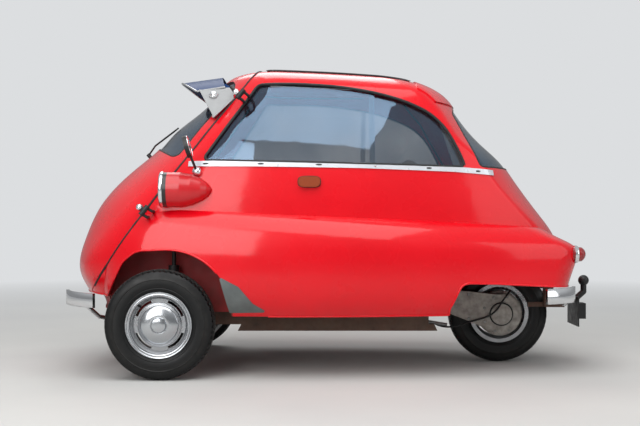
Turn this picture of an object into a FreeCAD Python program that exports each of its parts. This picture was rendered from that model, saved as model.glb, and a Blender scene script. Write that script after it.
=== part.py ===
import FreeCAD, Part
import math
import os
from FreeCAD import Vector

# Bubble car with one rear wheel. Millimetres, +X forward, +Y to the car's left, +Z up.
# The ground is Z 0, and the origin lies midway between the nose and the tow ball.

FRONT_AXLE_X = 745.0
REAR_AXLE_X = -755.0
TRACK_HALF = 600.0
TYRE_R = 230.0
TYRE_W = 126.0
RIM_R = 127.0
FLANGE_R = 138.0
SLOT_ANGLE = 50.0
KINGPIN_Y = 520.0
AXLE_R = 15.0
WALL = 26.0
SEAT_GAP = 0.2
DOOR_GAP = 5.0
DOOR_FOOT_Z = 345.0
DOOR_ROOM = 14.0
GAP_HEAD = (358.0, 1319.0)
GAP_FOOT = (1065.0, 371.0)
ARCH_CENTRE = (710.0, 272.0)
ARCH_R = 270.0
WELL_Y = 420.0
WELL_TOP = 548.0
WELL_REAR_X = 447.0
HINGE_TOP = (416.0, 520.0, 1200.0)
HINGE_LOW = (807.0, 640.0, 704.0)
SPRING_X = 706.0
SPRING_Y = 462.0
ARM_X = -421.2
LAMP_Y = 612.0
LAMP_Z = 792.0
BULKHEAD_X = -340.0
SHELF_Z = 846.0
FLOOR_Z = 266.0
TOW_BALL_X = -1163.0
LID_PIVOT = (-430.0, -634.0, 437.0)
LID_TURN = -10.7
LID_WALL = 12.0

# Level outlines of the cabin: z0 at x 0, slope of the plane along x, front x, front radius, half width,
# x of the widest place, side radius, rear x, rear radius, front corner, rear corner, share of a wall it sinks.
CABIN = (
    (265.0, 0.000, 1132.0, 1100.0, 560.0, 300.0, 3000.0, -950.0, 900.0, 260.0, 220.0, 0.0),
    (420.0, 0.000, 1182.0, 950.0, 590.0, 300.0, 3000.0, -1005.0, 800.0, 280.0, 200.0, 0.0),
    (560.0, 0.010, 1166.0, 820.0, 612.0, 300.0, 3000.0, -1018.0, 700.0, 300.0, 160.0, 0.0),
    (700.0, 0.025, 1096.0, 720.0, 615.0, 300.0, 3000.0, -948.0, 680.0, 300.0, 90.0, 0.0),
    (887.0, 0.034, 910.0, 680.0, 590.0, 300.0, 3000.0, -813.0, 670.0, 280.0, 60.0, 0.0),
    (955.0, 0.035, 832.0, 660.0, 573.0, 290.0, 3000.0, -762.0, 680.0, 260.0, 60.0, 0.0),
    (1030.0, 0.038, 766.0, 630.0, 553.0, 280.0, 3000.0, -681.0, 700.0, 240.0, 70.0, 0.1),
    (1160.0, 0.042, 614.0, 580.0, 508.0, 250.0, 3000.0, -567.0, 760.0, 200.0, 90.0, 0.2),
    (1245.0, 0.050, 540.0, 540.0, 462.0, 200.0, 3000.0, -505.0, 650.0, 180.0, 120.0, 0.5),
    (1287.0, 0.050, 496.0, 480.0, 395.0, 150.0, 2500.0, -428.0, 600.0, 170.0, 150.0, 0.7),
    (1311.0, 0.046, 432.0, 420.0, 305.0, 100.0, 2000.0, -300.0, 500.0, 150.0, 150.0, 0.9),
    (1323.0, 0.043, 345.0, 380.0, 205.0, 60.0, 1500.0, -165.0, 400.0, 120.0, 120.0, 1.0),
    (1329.0, 0.040, 270.0, 340.0, 110.0, 60.0, 1200.0, -60.0, 300.0, 80.0, 80.0, 1.0),
)

# Level outlines of the pontoons, same columns.
PONTOON = (
    (265.0, 0.000, 1040.0, 1500.0, 640.0, 200.0, 3300.0, -1012.0, 2500.0, 230.0, 170.0, 0.0),
    (330.0, 0.000, 1072.0, 1500.0, 676.0, 200.0, 3300.0, -1026.0, 2500.0, 250.0, 160.0, 0.0),
    (450.0, 0.000, 1085.0, 1500.0, 690.0, 200.0, 3300.0, -1060.0, 2500.0, 270.0, 150.0, 0.0),
    (560.0, 0.020, 1072.0, 1500.0, 684.0, 200.0, 3300.0, -1072.0, 2500.0, 270.0, 140.0, 0.0),
    (630.0, 0.050, 1010.0, 1500.0, 660.0, 200.0, 3300.0, -1006.0, 2500.0, 270.0, 140.0, 0.3),
    (668.0, 0.060, 900.0, 1500.0, 625.0, 200.0, 3300.0, -945.0, 2500.0, 260.0, 140.0, 0.7),
    (688.0, 0.065, 760.0, 1500.0, 565.0, 200.0, 3300.0, -830.0, 2500.0, 250.0, 140.0, 1.0),
)


def box(x0, x1, y0, y1, z0, z1):
    return Part.makeBox(x1 - x0, y1 - y0, z1 - z0, Vector(x0, y0, z0))


def rod(p, q, r):
    a, b = Vector(*p), Vector(*q)
    return Part.makeCylinder(r, (b - a).Length, a, b - a)


def tube(points, r):
    shape = None
    for p, q in zip(points, points[1:]):
        piece = rod(p, q, r)
        shape = piece if shape is None else shape.fuse(piece)
    for p in points[1:-1]:
        shape = shape.fuse(Part.makeSphere(r, Vector(*p)))
    return shape


def prism(points, y0, y1):
    """Outline in the XZ plane, pulled along Y."""
    corners = [Vector(x, y0, z) for x, z in points]
    face = Part.Face(Part.makePolygon(corners + corners[:1]))
    return face.extrude(Vector(0, y1 - y0, 0))


def plan(points, z0, z1):
    """Outline in the XY plane, pulled along Z."""
    corners = [Vector(x, y, z0) for x, y in points]
    face = Part.Face(Part.makePolygon(corners + corners[:1]))
    return face.extrude(Vector(0, 0, z1 - z0))


def rounded(points, radius, y0, y1, shrink=0.0):
    """Outline in the XZ plane with rounded corners, pulled along Y."""
    n = len(points)
    if not isinstance(radius, (list, tuple)):
        radius = [radius] * n
    edges = []
    ends = []
    for i in range(n):
        p = Vector(points[i - 1][0], 0, points[i - 1][1])
        c = Vector(points[i][0], 0, points[i][1])
        q = Vector(points[(i + 1) % n][0], 0, points[(i + 1) % n][1])
        u = (p - c).normalize()
        v = (q - c).normalize()
        half = 0.5 * u.getAngle(v)
        r = radius[i]
        cut = r / math.tan(half)
        a = c + u * cut
        b = c + v * cut
        middle = c + (u + v).normalize() * (r / math.sin(half) - r)
        ends.append((a, middle, b))
    for i in range(n):
        a, middle, b = ends[i]
        edges.append(Part.Arc(a, middle, b).toShape())
        following = ends[(i + 1) % n][0]
        if (following - b).Length > 0.01:
            edges.append(Part.makeLine(b, following))
    face = Part.Face(Part.Wire(edges))
    if shrink:
        face = face.makeOffset2D(-shrink)
    face.translate(Vector(0, y0, 0))
    return face.extrude(Vector(0, y1 - y0, 0))


def turned(profile, centre, axis):
    """Profile of (along, radius) points turned about an axis through the centre."""
    corners = [Vector(r, 0, a) for a, r in profile]
    face = Part.Face(Part.makePolygon(corners + corners[:1]))
    shape = face.revolve(Vector(0, 0, 0), Vector(0, 0, 1), 360)
    turn = FreeCAD.Rotation(Vector(0, 0, 1), Vector(*axis))
    shape.Placement = FreeCAD.Placement(Vector(*centre), turn)
    return shape


def mirrored(shape):
    return shape.mirror(Vector(0, 0, 0), Vector(0, 1, 0))


def both(shape):
    return Part.makeCompound([shape, mirrored(shape)])


def joined(shapes):
    shape = shapes[0].fuse(list(shapes[1:]))
    return shape.removeSplitter()


def corner_circle(c1, r1, c2, r2, r, forward):
    """Centre of the small circle that touches two larger ones from inside."""
    d = math.hypot(c2[0] - c1[0], c2[1] - c1[1])
    a, b = r1 - r, r2 - r
    u = (a * a - b * b + d * d) / (2.0 * d)
    h = math.sqrt(max(a * a - u * u, 0.0))
    ex, ey = (c2[0] - c1[0]) / d, (c2[1] - c1[1]) / d
    found = [
        (c1[0] + u * ex - h * ey, c1[1] + u * ey + h * ex),
        (c1[0] + u * ex + h * ey, c1[1] + u * ey - h * ex),
    ]
    found = [p for p in found if p[1] > 0.0]
    return max(found) if forward else min(found)


def on_circle(centre, point, r):
    d = math.hypot(point[0] - centre[0], point[1] - centre[1])
    return (centre[0] + (point[0] - centre[0]) / d * r, centre[1] + (point[1] - centre[1]) / d * r)


def outline(row, inset, lowest):
    """Closed outline of eight arcs: front, side and rear arcs with rounded corners between."""
    z0, slope, xf, rf, w, xs, rs, xr, rr, rcf, rcr, sink = row
    z0 -= sink * inset
    if lowest and inset > 0.0:
        z0 -= 40.0
    xf, rf, w, rs, xr, rr = xf - inset, rf - inset, w - inset, rs - inset, xr + inset, rr - inset
    rcf, rcr = max(rcf - inset, 8.0), max(rcr - inset, 8.0)
    front, side, rear = (xf - rf, 0.0), (xs, w - rs), (xr + rr, 0.0)
    c1 = corner_circle(front, rf, side, rs, rcf, True)
    c2 = corner_circle(rear, rr, side, rs, rcr, False)
    p1, p2 = on_circle(front, c1, rf), on_circle(side, c1, rs)
    p3, p4 = on_circle(side, c2, rs), on_circle(rear, c2, rr)

    def middle(c, a, b, r):
        return on_circle(c, ((a[0] + b[0]) / 2.0, (a[1] + b[1]) / 2.0), r)

    m1, ms, m2 = middle(c1, p1, p2, rcf), middle(side, p2, p3, rs), middle(c2, p3, p4, rcr)

    def at(p, sign=1.0):
        return Vector(p[0], sign * p[1], z0 + slope * p[0])

    arcs = (
        (at(p1, -1.0), at((xf, 0.0)), at(p1)),
        (at(p1), at(m1), at(p2)),
        (at(p2), at(ms), at(p3)),
        (at(p3), at(m2), at(p4)),
        (at(p4), at((xr, 0.0)), at(p4, -1.0)),
        (at(p4, -1.0), at(m2, -1.0), at(p3, -1.0)),
        (at(p3, -1.0), at(ms, -1.0), at(p2, -1.0)),
        (at(p2, -1.0), at(m1, -1.0), at(p1, -1.0)),
    )
    return Part.Wire([Part.Arc(a, m, b).toShape() for a, m, b in arcs])


SKINS = {}


def skin(table, inset=0.0):
    """Solid inside the lofted outlines, moved inwards by the inset."""
    key = (len(table), inset)
    if key not in SKINS:
        wires = [outline(row, inset, i == 0) for i, row in enumerate(table)]
        SKINS[key] = Part.makeLoft(wires, True, False)
    return SKINS[key]


def ahead(offset):
    """Everything ahead of the door plane moved forward by the offset."""
    dx, dz = GAP_FOOT[0] - GAP_HEAD[0], GAP_FOOT[1] - GAP_HEAD[1]
    length = math.hypot(dx, dz)
    tx, tz = dx / length, dz / length
    nx, nz = -tz, tx
    a = (GAP_HEAD[0] + nx * offset - tx * 400.0, GAP_HEAD[1] + nz * offset - tz * 400.0)
    b = (GAP_FOOT[0] + nx * offset + tx * 400.0, GAP_FOOT[1] + nz * offset + tz * 400.0)
    far = 1500.0
    return prism([a, b, (b[0] + nx * far, b[1] + nz * far), (a[0] + nx * far, a[1] + nz * far)], -800.0, 800.0)


def gap_x(z, offset=0.0):
    """X of the door plane at a height."""
    dx, dz = GAP_FOOT[0] - GAP_HEAD[0], GAP_FOOT[1] - GAP_HEAD[1]
    length = math.hypot(dx, dz)
    return GAP_HEAD[0] + (z - GAP_HEAD[1]) * dx / dz + offset * length / -dz


# Outlines in the XZ plane, seen from the side.
SIDE_WINDOW = (
    (574.0, 916.0), (345.0, 1249.0), (164.0, 1249.0), (-8.0, 1238.0), (-181.0, 1209.0), (-310.0, 1169.0),
    (-396.0, 1126.0), (-461.0, 1066.0), (-498.0, 1002.0), (-529.0, 941.0), (-547.0, 892.0),
)
SIDE_WINDOW_R = (14.0, 36.0, 2400.0, 1500.0, 1000.0, 650.0, 250.0, 280.0, 850.0, 550.0, 10.0)
REAR_WINDOW = ((-615.0, 891.0), (-507.0, 1136.0), (-534.0, 1178.0), (-1000.0, 1178.0), (-1000.0, 891.0))
REAR_WINDOW_R = (30.0, 20.0, 20.0, 20.0, 20.0)
REAR_CUT = (
    (-465.0, 200.0), (-465.0, 292.0), (-481.0, 321.0), (-498.0, 359.0), (-510.0, 383.0), (-522.0, 394.0),
    (-543.0, 400.0), (-667.0, 396.0), (-885.0, 382.0), (-1007.0, 376.0), (-1150.0, 374.0), (-1150.0, 200.0),
)
ARCH_FRONT = ((700.0, 200.0), (700.0, 543.0), (845.0, 537.0), (905.0, 490.0), (985.0, 342.0), (985.0, 200.0))
ARCH_FRONT_R = (5.0, 5.0, 90.0, 90.0, 5.0, 5.0)
FENDER_CUT = ((900.0, 200.0), (900.0, 339.0), (985.0, 342.0), (1200.0, 356.0), (1200.0, 200.0))
HATCH = ((-610.0, 437.0), (-610.0, 812.0), (-250.0, 826.0), (-250.0, 437.0))
TAIL_SPLIT = ((-572.0, 100.0), (-572.0, 895.0), (-430.0, 1140.0), (-345.0, 1235.0), (-345.0, 1450.0), (-1200.0, 1450.0),
              (-1200.0, 100.0))
ROOF_SPLIT = ((600.0, 1284.0), (-600.0, 1260.0), (-600.0, 1500.0), (600.0, 1500.0))
STONE_GUARD = ((494.0, 432.0), (413.0, 390.0), (354.0, 320.0), (292.0, 283.0), (452.0, 280.0))


def windscreen_outline(shrink):
    foot, head = 925.0, 1288.0
    points = ((gap_x(foot, 35.0), foot), (gap_x(head, 35.0), head), (1050.0, 1302.0), (1050.0, 1095.0))
    return rounded(points, (45.0, 30.0, 10.0, 10.0), -800.0, 800.0, shrink)


OUTER_CABIN = skin(CABIN)
INNER_CABIN = skin(CABIN, WALL)
OUTER_SEAT = skin(CABIN, -SEAT_GAP)
SHELL_INSIDE = joined([INNER_CABIN, skin(PONTOON, WALL)])
FITTED_INSIDE = joined([skin(CABIN, WALL + SEAT_GAP), skin(PONTOON, WALL + SEAT_GAP)])


def sheet(table, outer, inner, zone):
    """The part of a zone that lies between two insets of a loft."""
    return skin(table, outer).common(zone).cut(skin(table, inner))


def fixed_shell():
    """Whole fixed body shell, before it is parted into panels."""
    shape = joined([OUTER_CABIN, skin(PONTOON)])
    shape = shape.cut(ahead(-DOOR_GAP / 2.0))
    shape = shape.cut(SHELL_INSIDE)
    shape = shape.cut(prism(REAR_CUT, -800.0, 800.0))
    shape = shape.cut(prism(FENDER_CUT, -800.0, 800.0))
    for side in (1.0, -1.0):
        arch = rod((ARCH_CENTRE[0], side * (WELL_Y + 5.0), ARCH_CENTRE[1]), (ARCH_CENTRE[0], side * 800.0, ARCH_CENTRE[1]), ARCH_R)
        shape = shape.cut(arch)
        y2, y3 = sorted((side * (WELL_Y + 5.0), side * 800.0))
        shape = shape.cut(rounded(ARCH_FRONT, ARCH_FRONT_R, y2, y3))
        y0, y1 = sorted((side * 250.0, side * 800.0))
        shape = shape.cut(rounded(SIDE_WINDOW, SIDE_WINDOW_R, y0, y1))
    shape = shape.cut(rounded(REAR_WINDOW, REAR_WINDOW_R, -800.0, 800.0))
    return shape


def roof_opening(shrink):
    return box(-331.0 + shrink, 322.0 - shrink, -300.0 + shrink, 300.0 - shrink, 1200.0, 1450.0)


def hatch_zone(shrink):
    """Opening of the engine lid, square to the lid's hinge line."""
    zone = rounded(HATCH, 40.0, -800.0, -300.0, shrink)
    zone.rotate(Vector(*LID_PIVOT), Vector(0, 0, 1), LID_TURN)
    return zone


def body_panels():
    shell = fixed_shell()
    tail_zone = prism(TAIL_SPLIT, -800.0, 800.0)
    roof_zone = prism(ROOF_SPLIT, -800.0, 800.0)
    tail = shell.common(tail_zone)
    rest = shell.cut(tail_zone)
    roof = rest.common(roof_zone).cut(roof_opening(0.0))
    sides = rest.cut(roof_zone).cut(roof_opening(0.0))
    left = sides.common(box(-1300.0, 1300.0, 0.0, 800.0, 0.0, 1500.0))
    right = sides.common(box(-1300.0, 1300.0, -800.0, 0.0, 0.0, 1500.0))
    hole = hatch_zone(0.0)
    tail = tail.cut(hole)
    band_zone = prism(((-346.0, 1180.0), (-346.0, 1450.0), (-560.0, 1450.0), (-560.0, 1180.0)), -400.0, 400.0)
    tail = joined([tail, sheet(CABIN, -6.0, 4.0, band_zone.common(tail_zone))])
    right = right.cut(hole)
    return left, right, tail, roof


def fabric_roof():
    return sheet(CABIN, -5.0, 12.0, roof_opening(0.3))


def door_panel():
    shape = OUTER_CABIN.common(ahead(DOOR_GAP / 2.0))
    shape = shape.cut(INNER_CABIN)
    shape = shape.cut(box(-1300.0, 1300.0, -800.0, 800.0, 0.0, DOOR_FOOT_Z))
    return shape.cut(windscreen_outline(0.0))


def windscreen():
    return sheet(CABIN, 8.0, 14.0, windscreen_outline(0.3).common(ahead(DOOR_GAP / 2.0)))


def side_windows():
    """A fixed front pane and a sliding rear pane on each side."""
    panes = []
    for outer, inner, x0, x1 in ((6.0, 11.0, -156.0, 800.0), (13.0, 18.0, -800.0, -132.0)):
        hole = rounded(SIDE_WINDOW, SIDE_WINDOW_R, 250.0, 800.0, 0.3)
        pane = sheet(CABIN, outer, inner, hole.common(box(x0, x1, 0.0, 800.0, 800.0, 1400.0)))
        panes.append(pane)
        panes.append(mirrored(pane))
    return Part.makeCompound(panes)


def rear_window():
    return sheet(CABIN, 6.0, 12.0, rounded(REAR_WINDOW, REAR_WINDOW_R, -800.0, 800.0, 0.3))


def belt_strips():
    path = ((633.0, 902.0), (370.0, 901.0), (-90.0, 895.0), (-498.0, 882.0), (-676.0, 869.0))
    points = [(x, z + 11.5) for x, z in path] + [(x, z - 11.5) for x, z in reversed(path)]
    return both(sheet(CABIN, -5.0, -SEAT_GAP, prism(points, 200.0, 800.0)))


def stone_guards():
    return both(sheet(PONTOON, -3.0, -SEAT_GAP, rounded(STONE_GUARD, 6.0, 300.0, 800.0)))


def inside(x0, x1, y0, y1, z0, z1):
    return FITTED_INSIDE.common(box(x0, x1, y0, y1, z0, z1))


def wheel_housing():
    """Left inner housing over the front wheel: rear wall, inner wall and top."""
    outer = inside(WELL_REAR_X - 12.0, 1140.0, WELL_Y - 12.0, 800.0, FLOOR_Z, WELL_TOP + 12.0)
    space = box(WELL_REAR_X, 1200.0, WELL_Y, 800.0, 200.0, WELL_TOP)
    return outer.cut(space).cut(ahead(-DOOR_GAP / 2.0 - 4.0))


def floor_pan():
    floor = inside(BULKHEAD_X, 1200.0, -800.0, 800.0, FLOOR_Z, FLOOR_Z + 10.0)
    for side in (1.0, -1.0):
        y0, y1 = sorted((side * WELL_Y, side * 800.0))
        floor = floor.cut(box(WELL_REAR_X, 1200.0, y0, y1, 200.0, 400.0))
    bulkhead = inside(BULKHEAD_X - 10.0, BULKHEAD_X, -800.0, 800.0, FLOOR_Z, SHELF_Z + 10.0)
    shelf = inside(-1000.0, BULKHEAD_X, -800.0, 800.0, SHELF_Z, SHELF_Z + 10.0)
    lip = sheet(CABIN, 30.0, 42.0, box(1000.0, 1200.0, -WELL_Y, WELL_Y, FLOOR_Z, DOOR_FOOT_Z - 6.0))
    housing = wheel_housing()
    return joined([floor, bulkhead, shelf, lip, housing, mirrored(housing)])


def chassis_frame():
    """Two box rails, cross members and the rear rails that end at the tow bar. The left one is high."""
    rails = []
    for side in (1.0, -1.0):
        y = side * 330.0
        rails.append(box(-400.0, 1010.0, y - 22.0, y + 22.0, 205.0, FLOOR_Z - SEAT_GAP))
        rails.append(prism(((-439.0, 176.0), (-425.0, 205.0), (425.0, 205.0), (440.0, 176.0)), y - 20.0, y + 20.0))
    for x in (990.0, 120.0):
        rails.append(box(x - 20.0, x + 20.0, -330.0, 330.0, 215.0, 255.0))
    rails.append(box(-400.0, -360.0, -352.0, 352.0, 205.0, 265.8))
    rails.append(box(-400.0, -360.0, -250.0, 250.0, 265.0, 312.0))
    rails.append(box(-1020.0, -990.0, -250.0, 250.0, 272.0, 312.0))
    rails.append(box(-1010.0, -400.0, -250.0, -210.0, 272.0, 312.0))
    rails.append(box(-960.0, -380.0, 210.0, 250.0, 385.0, 420.0))
    rails.append(box(-400.0, -370.0, 210.0, 250.0, 300.0, 420.0))
    rails.append(box(-960.0, -930.0, 210.0, 250.0, 300.0, 420.0))
    rails.append(box(-1010.0, -930.0, 210.0, 250.0, 272.0, 312.0))
    rails.append(box(-1000.0, -862.0, 196.0, 220.0, 272.0, 292.0))
    return joined(rails)


def front_axle():
    """Cross tube, arms to the kingpins and the upright spring units."""
    parts = [rod((560.0, -400.0, 180.0), (560.0, 400.0, 180.0), 24.0)]
    for side in (1.0, -1.0):
        arm = ((560.0, side * 395.0, 180.0), (640.0, side * 450.0, 150.0), (SPRING_X, side * SPRING_Y, 140.0),
               (FRONT_AXLE_X, side * KINGPIN_Y, 132.0))
        parts.append(tube(arm, 15.0))
        parts.append(rod((FRONT_AXLE_X, side * KINGPIN_Y, 120.0), (FRONT_AXLE_X, side * KINGPIN_Y, 150.0), 22.0))
        parts.append(rod((SPRING_X, side * SPRING_Y, 140.0), (SPRING_X, side * SPRING_Y, WELL_TOP - SEAT_GAP), 9.0))
        parts.append(rod((SPRING_X, side * SPRING_Y, 200.0), (SPRING_X, side * SPRING_Y, 470.0), 24.0))
        parts.append(box(540.0, 580.0, side * 330.0 - 20.0, side * 330.0 + 20.0, 170.0, 205.0 - SEAT_GAP))
    return joined(parts)


def knuckle(side):
    """Kingpin tube, stub axle and brake plate of one front wheel."""
    y = side * KINGPIN_Y
    wheel_y = side * TRACK_HALF
    parts = [
        rod((FRONT_AXLE_X, y, 150.3), (FRONT_AXLE_X, y, 310.0), 19.0),
        rod((FRONT_AXLE_X, y, TYRE_R), (FRONT_AXLE_X, wheel_y + side * 7.0, TYRE_R), AXLE_R),
        rod((FRONT_AXLE_X, y + side * 22.0, TYRE_R), (FRONT_AXLE_X, y + side * 30.0, TYRE_R), 92.0),
    ]
    return joined(parts)


def rim(x, y, side, capped):
    """Steel wheel with its drum. The side points out of the car."""
    centre, axis = (x, y, TYRE_R), (0, side, 0)
    barrel = turned(
        ((-58.0, FLANGE_R), (-58.0, RIM_R - 6.0), (-40.0, RIM_R - 6.0), (-30.0, RIM_R - 18.0), (26.0, RIM_R - 18.0),
         (40.0, RIM_R - 6.0), (58.0, RIM_R - 6.0), (58.0, FLANGE_R), (54.0, FLANGE_R), (54.0, RIM_R), (-54.0, RIM_R),
         (-54.0, FLANGE_R)), centre, axis)
    disc = turned(
        ((0.0, AXLE_R + 0.3), (0.0, 70.0), (14.0, 88.0), (14.0, RIM_R - 14.0), (20.0, RIM_R - 14.0), (20.0, 84.0),
         (8.0, 62.0), (8.0, AXLE_R + 0.3)), centre, axis)
    drum = turned(((-42.0, 84.0), (-42.0, 92.0), (0.0, 92.0), (0.0, AXLE_R + 0.3), (-8.0, AXLE_R + 0.3), (-8.0, 84.0)), centre, axis)
    for k in range(4):
        wedge = Part.makeCylinder(RIM_R - 20.0, 30.0, Vector(0, 0, 8.0), Vector(0, 0, 1), SLOT_ANGLE)
        wedge = wedge.cut(Part.makeCylinder(RIM_R - 31.0, 30.0, Vector(0, 0, 8.0)))
        wedge.rotate(Vector(0, 0, 0), Vector(0, 0, 1), 45.0 + 90.0 * k - SLOT_ANGLE / 2.0)
        turn = FreeCAD.Rotation(Vector(0, 0, 1), Vector(*axis))
        wedge.Placement = FreeCAD.Placement(Vector(*centre), turn).multiply(wedge.Placement)
        disc = disc.cut(wedge)
    shapes = [barrel, disc, drum]
    if capped:
        shapes.append(turned(
            ((7.5, 0.0), (7.5, 62.0), (19.0, 84.0), (19.0, 87.0), (26.0, 90.0), (32.0, 88.0), (40.0, 72.0),
             (48.0, 45.0), (50.0, 32.0), (56.0, 30.0), (58.0, 0.0)), centre, axis))
    return joined(shapes)


def tyre(x, y):
    half = TYRE_W / 2.0
    profile = (
        (-53.7, RIM_R + 0.2), (-53.7, FLANGE_R + 0.3), (-62.0, FLANGE_R + 14.0), (-half, RIM_R + 50.0), (-60.0, TYRE_R - 32.0),
        (-52.0, TYRE_R - 12.0), (-40.0, TYRE_R - 3.0), (-20.0, TYRE_R), (20.0, TYRE_R), (40.0, TYRE_R - 3.0),
        (52.0, TYRE_R - 12.0), (60.0, TYRE_R - 32.0), (half, RIM_R + 50.0), (62.0, FLANGE_R + 14.0),
        (53.7, FLANGE_R + 0.3), (53.7, RIM_R + 0.2))
    return turned(profile, (x, y, TYRE_R), (0, 1, 0))


def chain_case():
    """Casting left of the rear wheel, from the gearbox to the axle."""
    points = ((-405.0, 262.0), (-430.0, 255.0), (-529.0, 228.0), (-611.0, 196.0), (-700.0, 156.0), (-755.0, 140.0),
              (-755.0, 320.0), (-749.0, 318.0), (-611.0, 333.0), (-430.0, 345.0), (-405.0, 345.0))
    case = prism(points, 78.0, 128.0)
    end = rod((REAR_AXLE_X, 78.0, TYRE_R), (REAR_AXLE_X, 122.0, TYRE_R), 92.0)
    cap = rod((REAR_AXLE_X, 118.0, TYRE_R), (REAR_AXLE_X, 140.0, TYRE_R), 48.0)
    spindle = rod((REAR_AXLE_X, -91.8, TYRE_R), (REAR_AXLE_X, 90.0, TYRE_R), AXLE_R)
    plate = rod((REAR_AXLE_X, 50.0, TYRE_R), (REAR_AXLE_X, 79.0, TYRE_R), 104.0)
    return joined([case, end, cap, spindle, plate])


def rear_arm():
    """Right arm of the swing fork with the cross tube and damper."""
    arm = tube(((ARM_X, -110.0, 250.0), (REAR_AXLE_X, -110.0, TYRE_R)), 18.0)
    boss = rod((REAR_AXLE_X, -132.0, TYRE_R), (REAR_AXLE_X, -100.2, TYRE_R), 26.0)
    cross = rod((ARM_X, -131.0, 250.0), (ARM_X, 77.8, 250.0), 21.0)
    foot = rod((-640.0, -160.0, 238.0), (-640.0, -112.0, 238.0), 11.0)
    damper = rod((-645.0, -150.0, 222.0), (-560.0, -150.0, 520.0), 20.0)
    return joined([arm, boss, cross, foot, damper])


def engine():
    block = box(-660.0, -380.0, -430.0, -180.0, 312.2, 610.0)
    gearbox = box(-540.0, -380.0, -181.0, 60.0, 360.0, 520.0)
    case_link = box(-470.0, -405.0, 40.0, 77.8, 300.0, 380.0)
    return joined([block, gearbox, case_link]).cut(rod((-645.0, -150.0, 222.0), (-560.0, -150.0, 520.0), 26.0))


def exhaust():
    silencer = rod((-900.0, -430.0, 446.0), (-900.0, -130.0, 446.0), 46.0)
    tail = tube(((-900.0, -190.0, 446.0), (-950.0, -190.0, 350.0), (-1060.0, -190.0, 338.0)), 15.0)
    inlet = tube(((-900.0, -300.0, 446.0), (-780.0, -300.0, 446.0), (-660.2, -300.0, 446.0)), 16.0)
    return joined([silencer, tail, inlet])


def tow_bar():
    beam = box(-1100.0, -1020.2, -30.0, 30.0, 277.0, 312.0)
    neck = tube(((-1090.0, 0.0, 295.0), (-1130.0, 0.0, 295.0), (TOW_BALL_X, 0.0, 325.0), (TOW_BALL_X, 0.0, 365.0)), 14.0)
    ball = Part.makeSphere(25.0, Vector(TOW_BALL_X, 0.0, 378.0))
    plate = box(-1100.0, -1094.0, -30.0, 190.0, 178.0, 312.0)
    socket = box(-1130.0, -1094.0, 120.0, 190.0, 214.0, 284.0)
    return joined([beam, neck, ball, plate, socket])


def seat_base():
    return box(-300.0, 60.0, -470.0, 470.0, 380.0, 540.0)


def seat_box():
    return box(-300.0, 30.0, -440.0, 440.0, FLOOR_Z + 10.2, 379.7)


def seat_back():
    points = ((-200.0, 540.3), (-300.0, 940.0), (-338.0, 940.0), (-338.0, 700.0), (-320.0, 540.3))
    return rounded(points, 14.0, -470.0, 470.0)


def door_room(offset):
    """Space over the door skin that the opening door needs beside the headlamps."""
    return skin(CABIN, -offset).common(ahead(-8.0))


def headlamp_pods():
    pod = turned(
        ((0.0, 0.0), (0.0, 72.0), (-72.0, 72.0), (-115.0, 64.0), (-157.0, 46.0), (-180.0, 30.0), (-196.0, 10.0),
         (-199.0, 0.0)), (730.0, LAMP_Y, LAMP_Z), (1, 0, 0))
    return both(pod.cut(skin(CABIN, -SEAT_GAP)).cut(door_room(DOOR_ROOM)))


def headlamp_faces():
    face = turned(((0.2, 0.0), (0.2, 73.0), (6.0, 74.0), (9.0, 68.0), (12.0, 0.0)), (730.0, LAMP_Y, LAMP_Z), (1, 0, 0))
    return both(face.cut(skin(CABIN, -SEAT_GAP)).cut(door_room(DOOR_ROOM)))


def lamps():
    """Side marker lamps and tail lamps."""
    zone = rounded(((169.0, 803.0), (169.0, 847.0), (77.0, 847.0), (77.0, 803.0)), 21.0, 400.0, 800.0)
    marker = sheet(CABIN, -20.0, -SEAT_GAP, zone)
    tail = rod((-940.0, 410.0, 515.0), (-1056.0, 410.0, 515.0), 30.5)
    lens = Part.makeSphere(34.0, Vector(-1042.0, 410.0, 515.0)).common(box(-1100.0, -1056.0, 300.0, 500.0, 400.0, 600.0))
    tail = tail.fuse(lens).cut(skin(PONTOON, -SEAT_GAP)).cut(skin(CABIN, -SEAT_GAP))
    return Part.makeCompound([marker, mirrored(marker), tail, mirrored(tail)])


def mirror():
    """Ball foot, stalk and round head on the left side."""
    foot = Part.makeSphere(19.0, Vector(593.0, 594.0, 867.0))
    stalk = tube(((593.0, 598.0, 867.0), (604.0, 640.0, 905.0), (626.0, 655.0, 966.0)), 4.5)
    normal = Vector(-0.96, 0.0, 0.28).normalize()
    centre = Vector(626.0, 655.0, 967.0)
    head = Part.makeCylinder(47.0, 18.0, centre - normal * 9.0, normal)
    return joined([foot, stalk, head]).cut(skin(CABIN, -SEAT_GAP))


def bumper_blade(points, z, height, thick, stays):
    """Curved blade on a plan path with round stays."""
    p = [Vector(x, y, z - height / 2.0) for x, y in points]
    outer = Part.Arc(p[0], p[1], p[2]).toShape()
    centre = outer.Curve.Center
    r = outer.Curve.Radius
    inner_points = [centre + (q - centre) * ((r - thick) / r) for q in p]
    inner = Part.Arc(inner_points[0], inner_points[1], inner_points[2]).toShape()
    ends = [Part.makeLine(p[2], inner_points[2]), Part.makeLine(inner_points[0], p[0])]
    face = Part.Face(Part.Wire([outer, ends[0], inner, ends[1]]))
    blade = face.extrude(Vector(0, 0, height))
    parts = [blade]
    for path in stays:
        parts.append(tube(path, 9.0))
    return joined(parts)


def front_bumpers():
    stay = ((1066.0, 590.0, 318.0), (1044.0, 560.0, 290.0), (1026.0, 470.0, 250.0), (1000.0, 400.0, 236.0),
            (1000.0, 352.2, 236.0))
    blade = bumper_blade(((1188.0, 380.0), (1124.0, 532.0), (1020.0, 642.0)), 330.0, 60.0, 14.0, (stay,))
    return both(blade)


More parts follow.
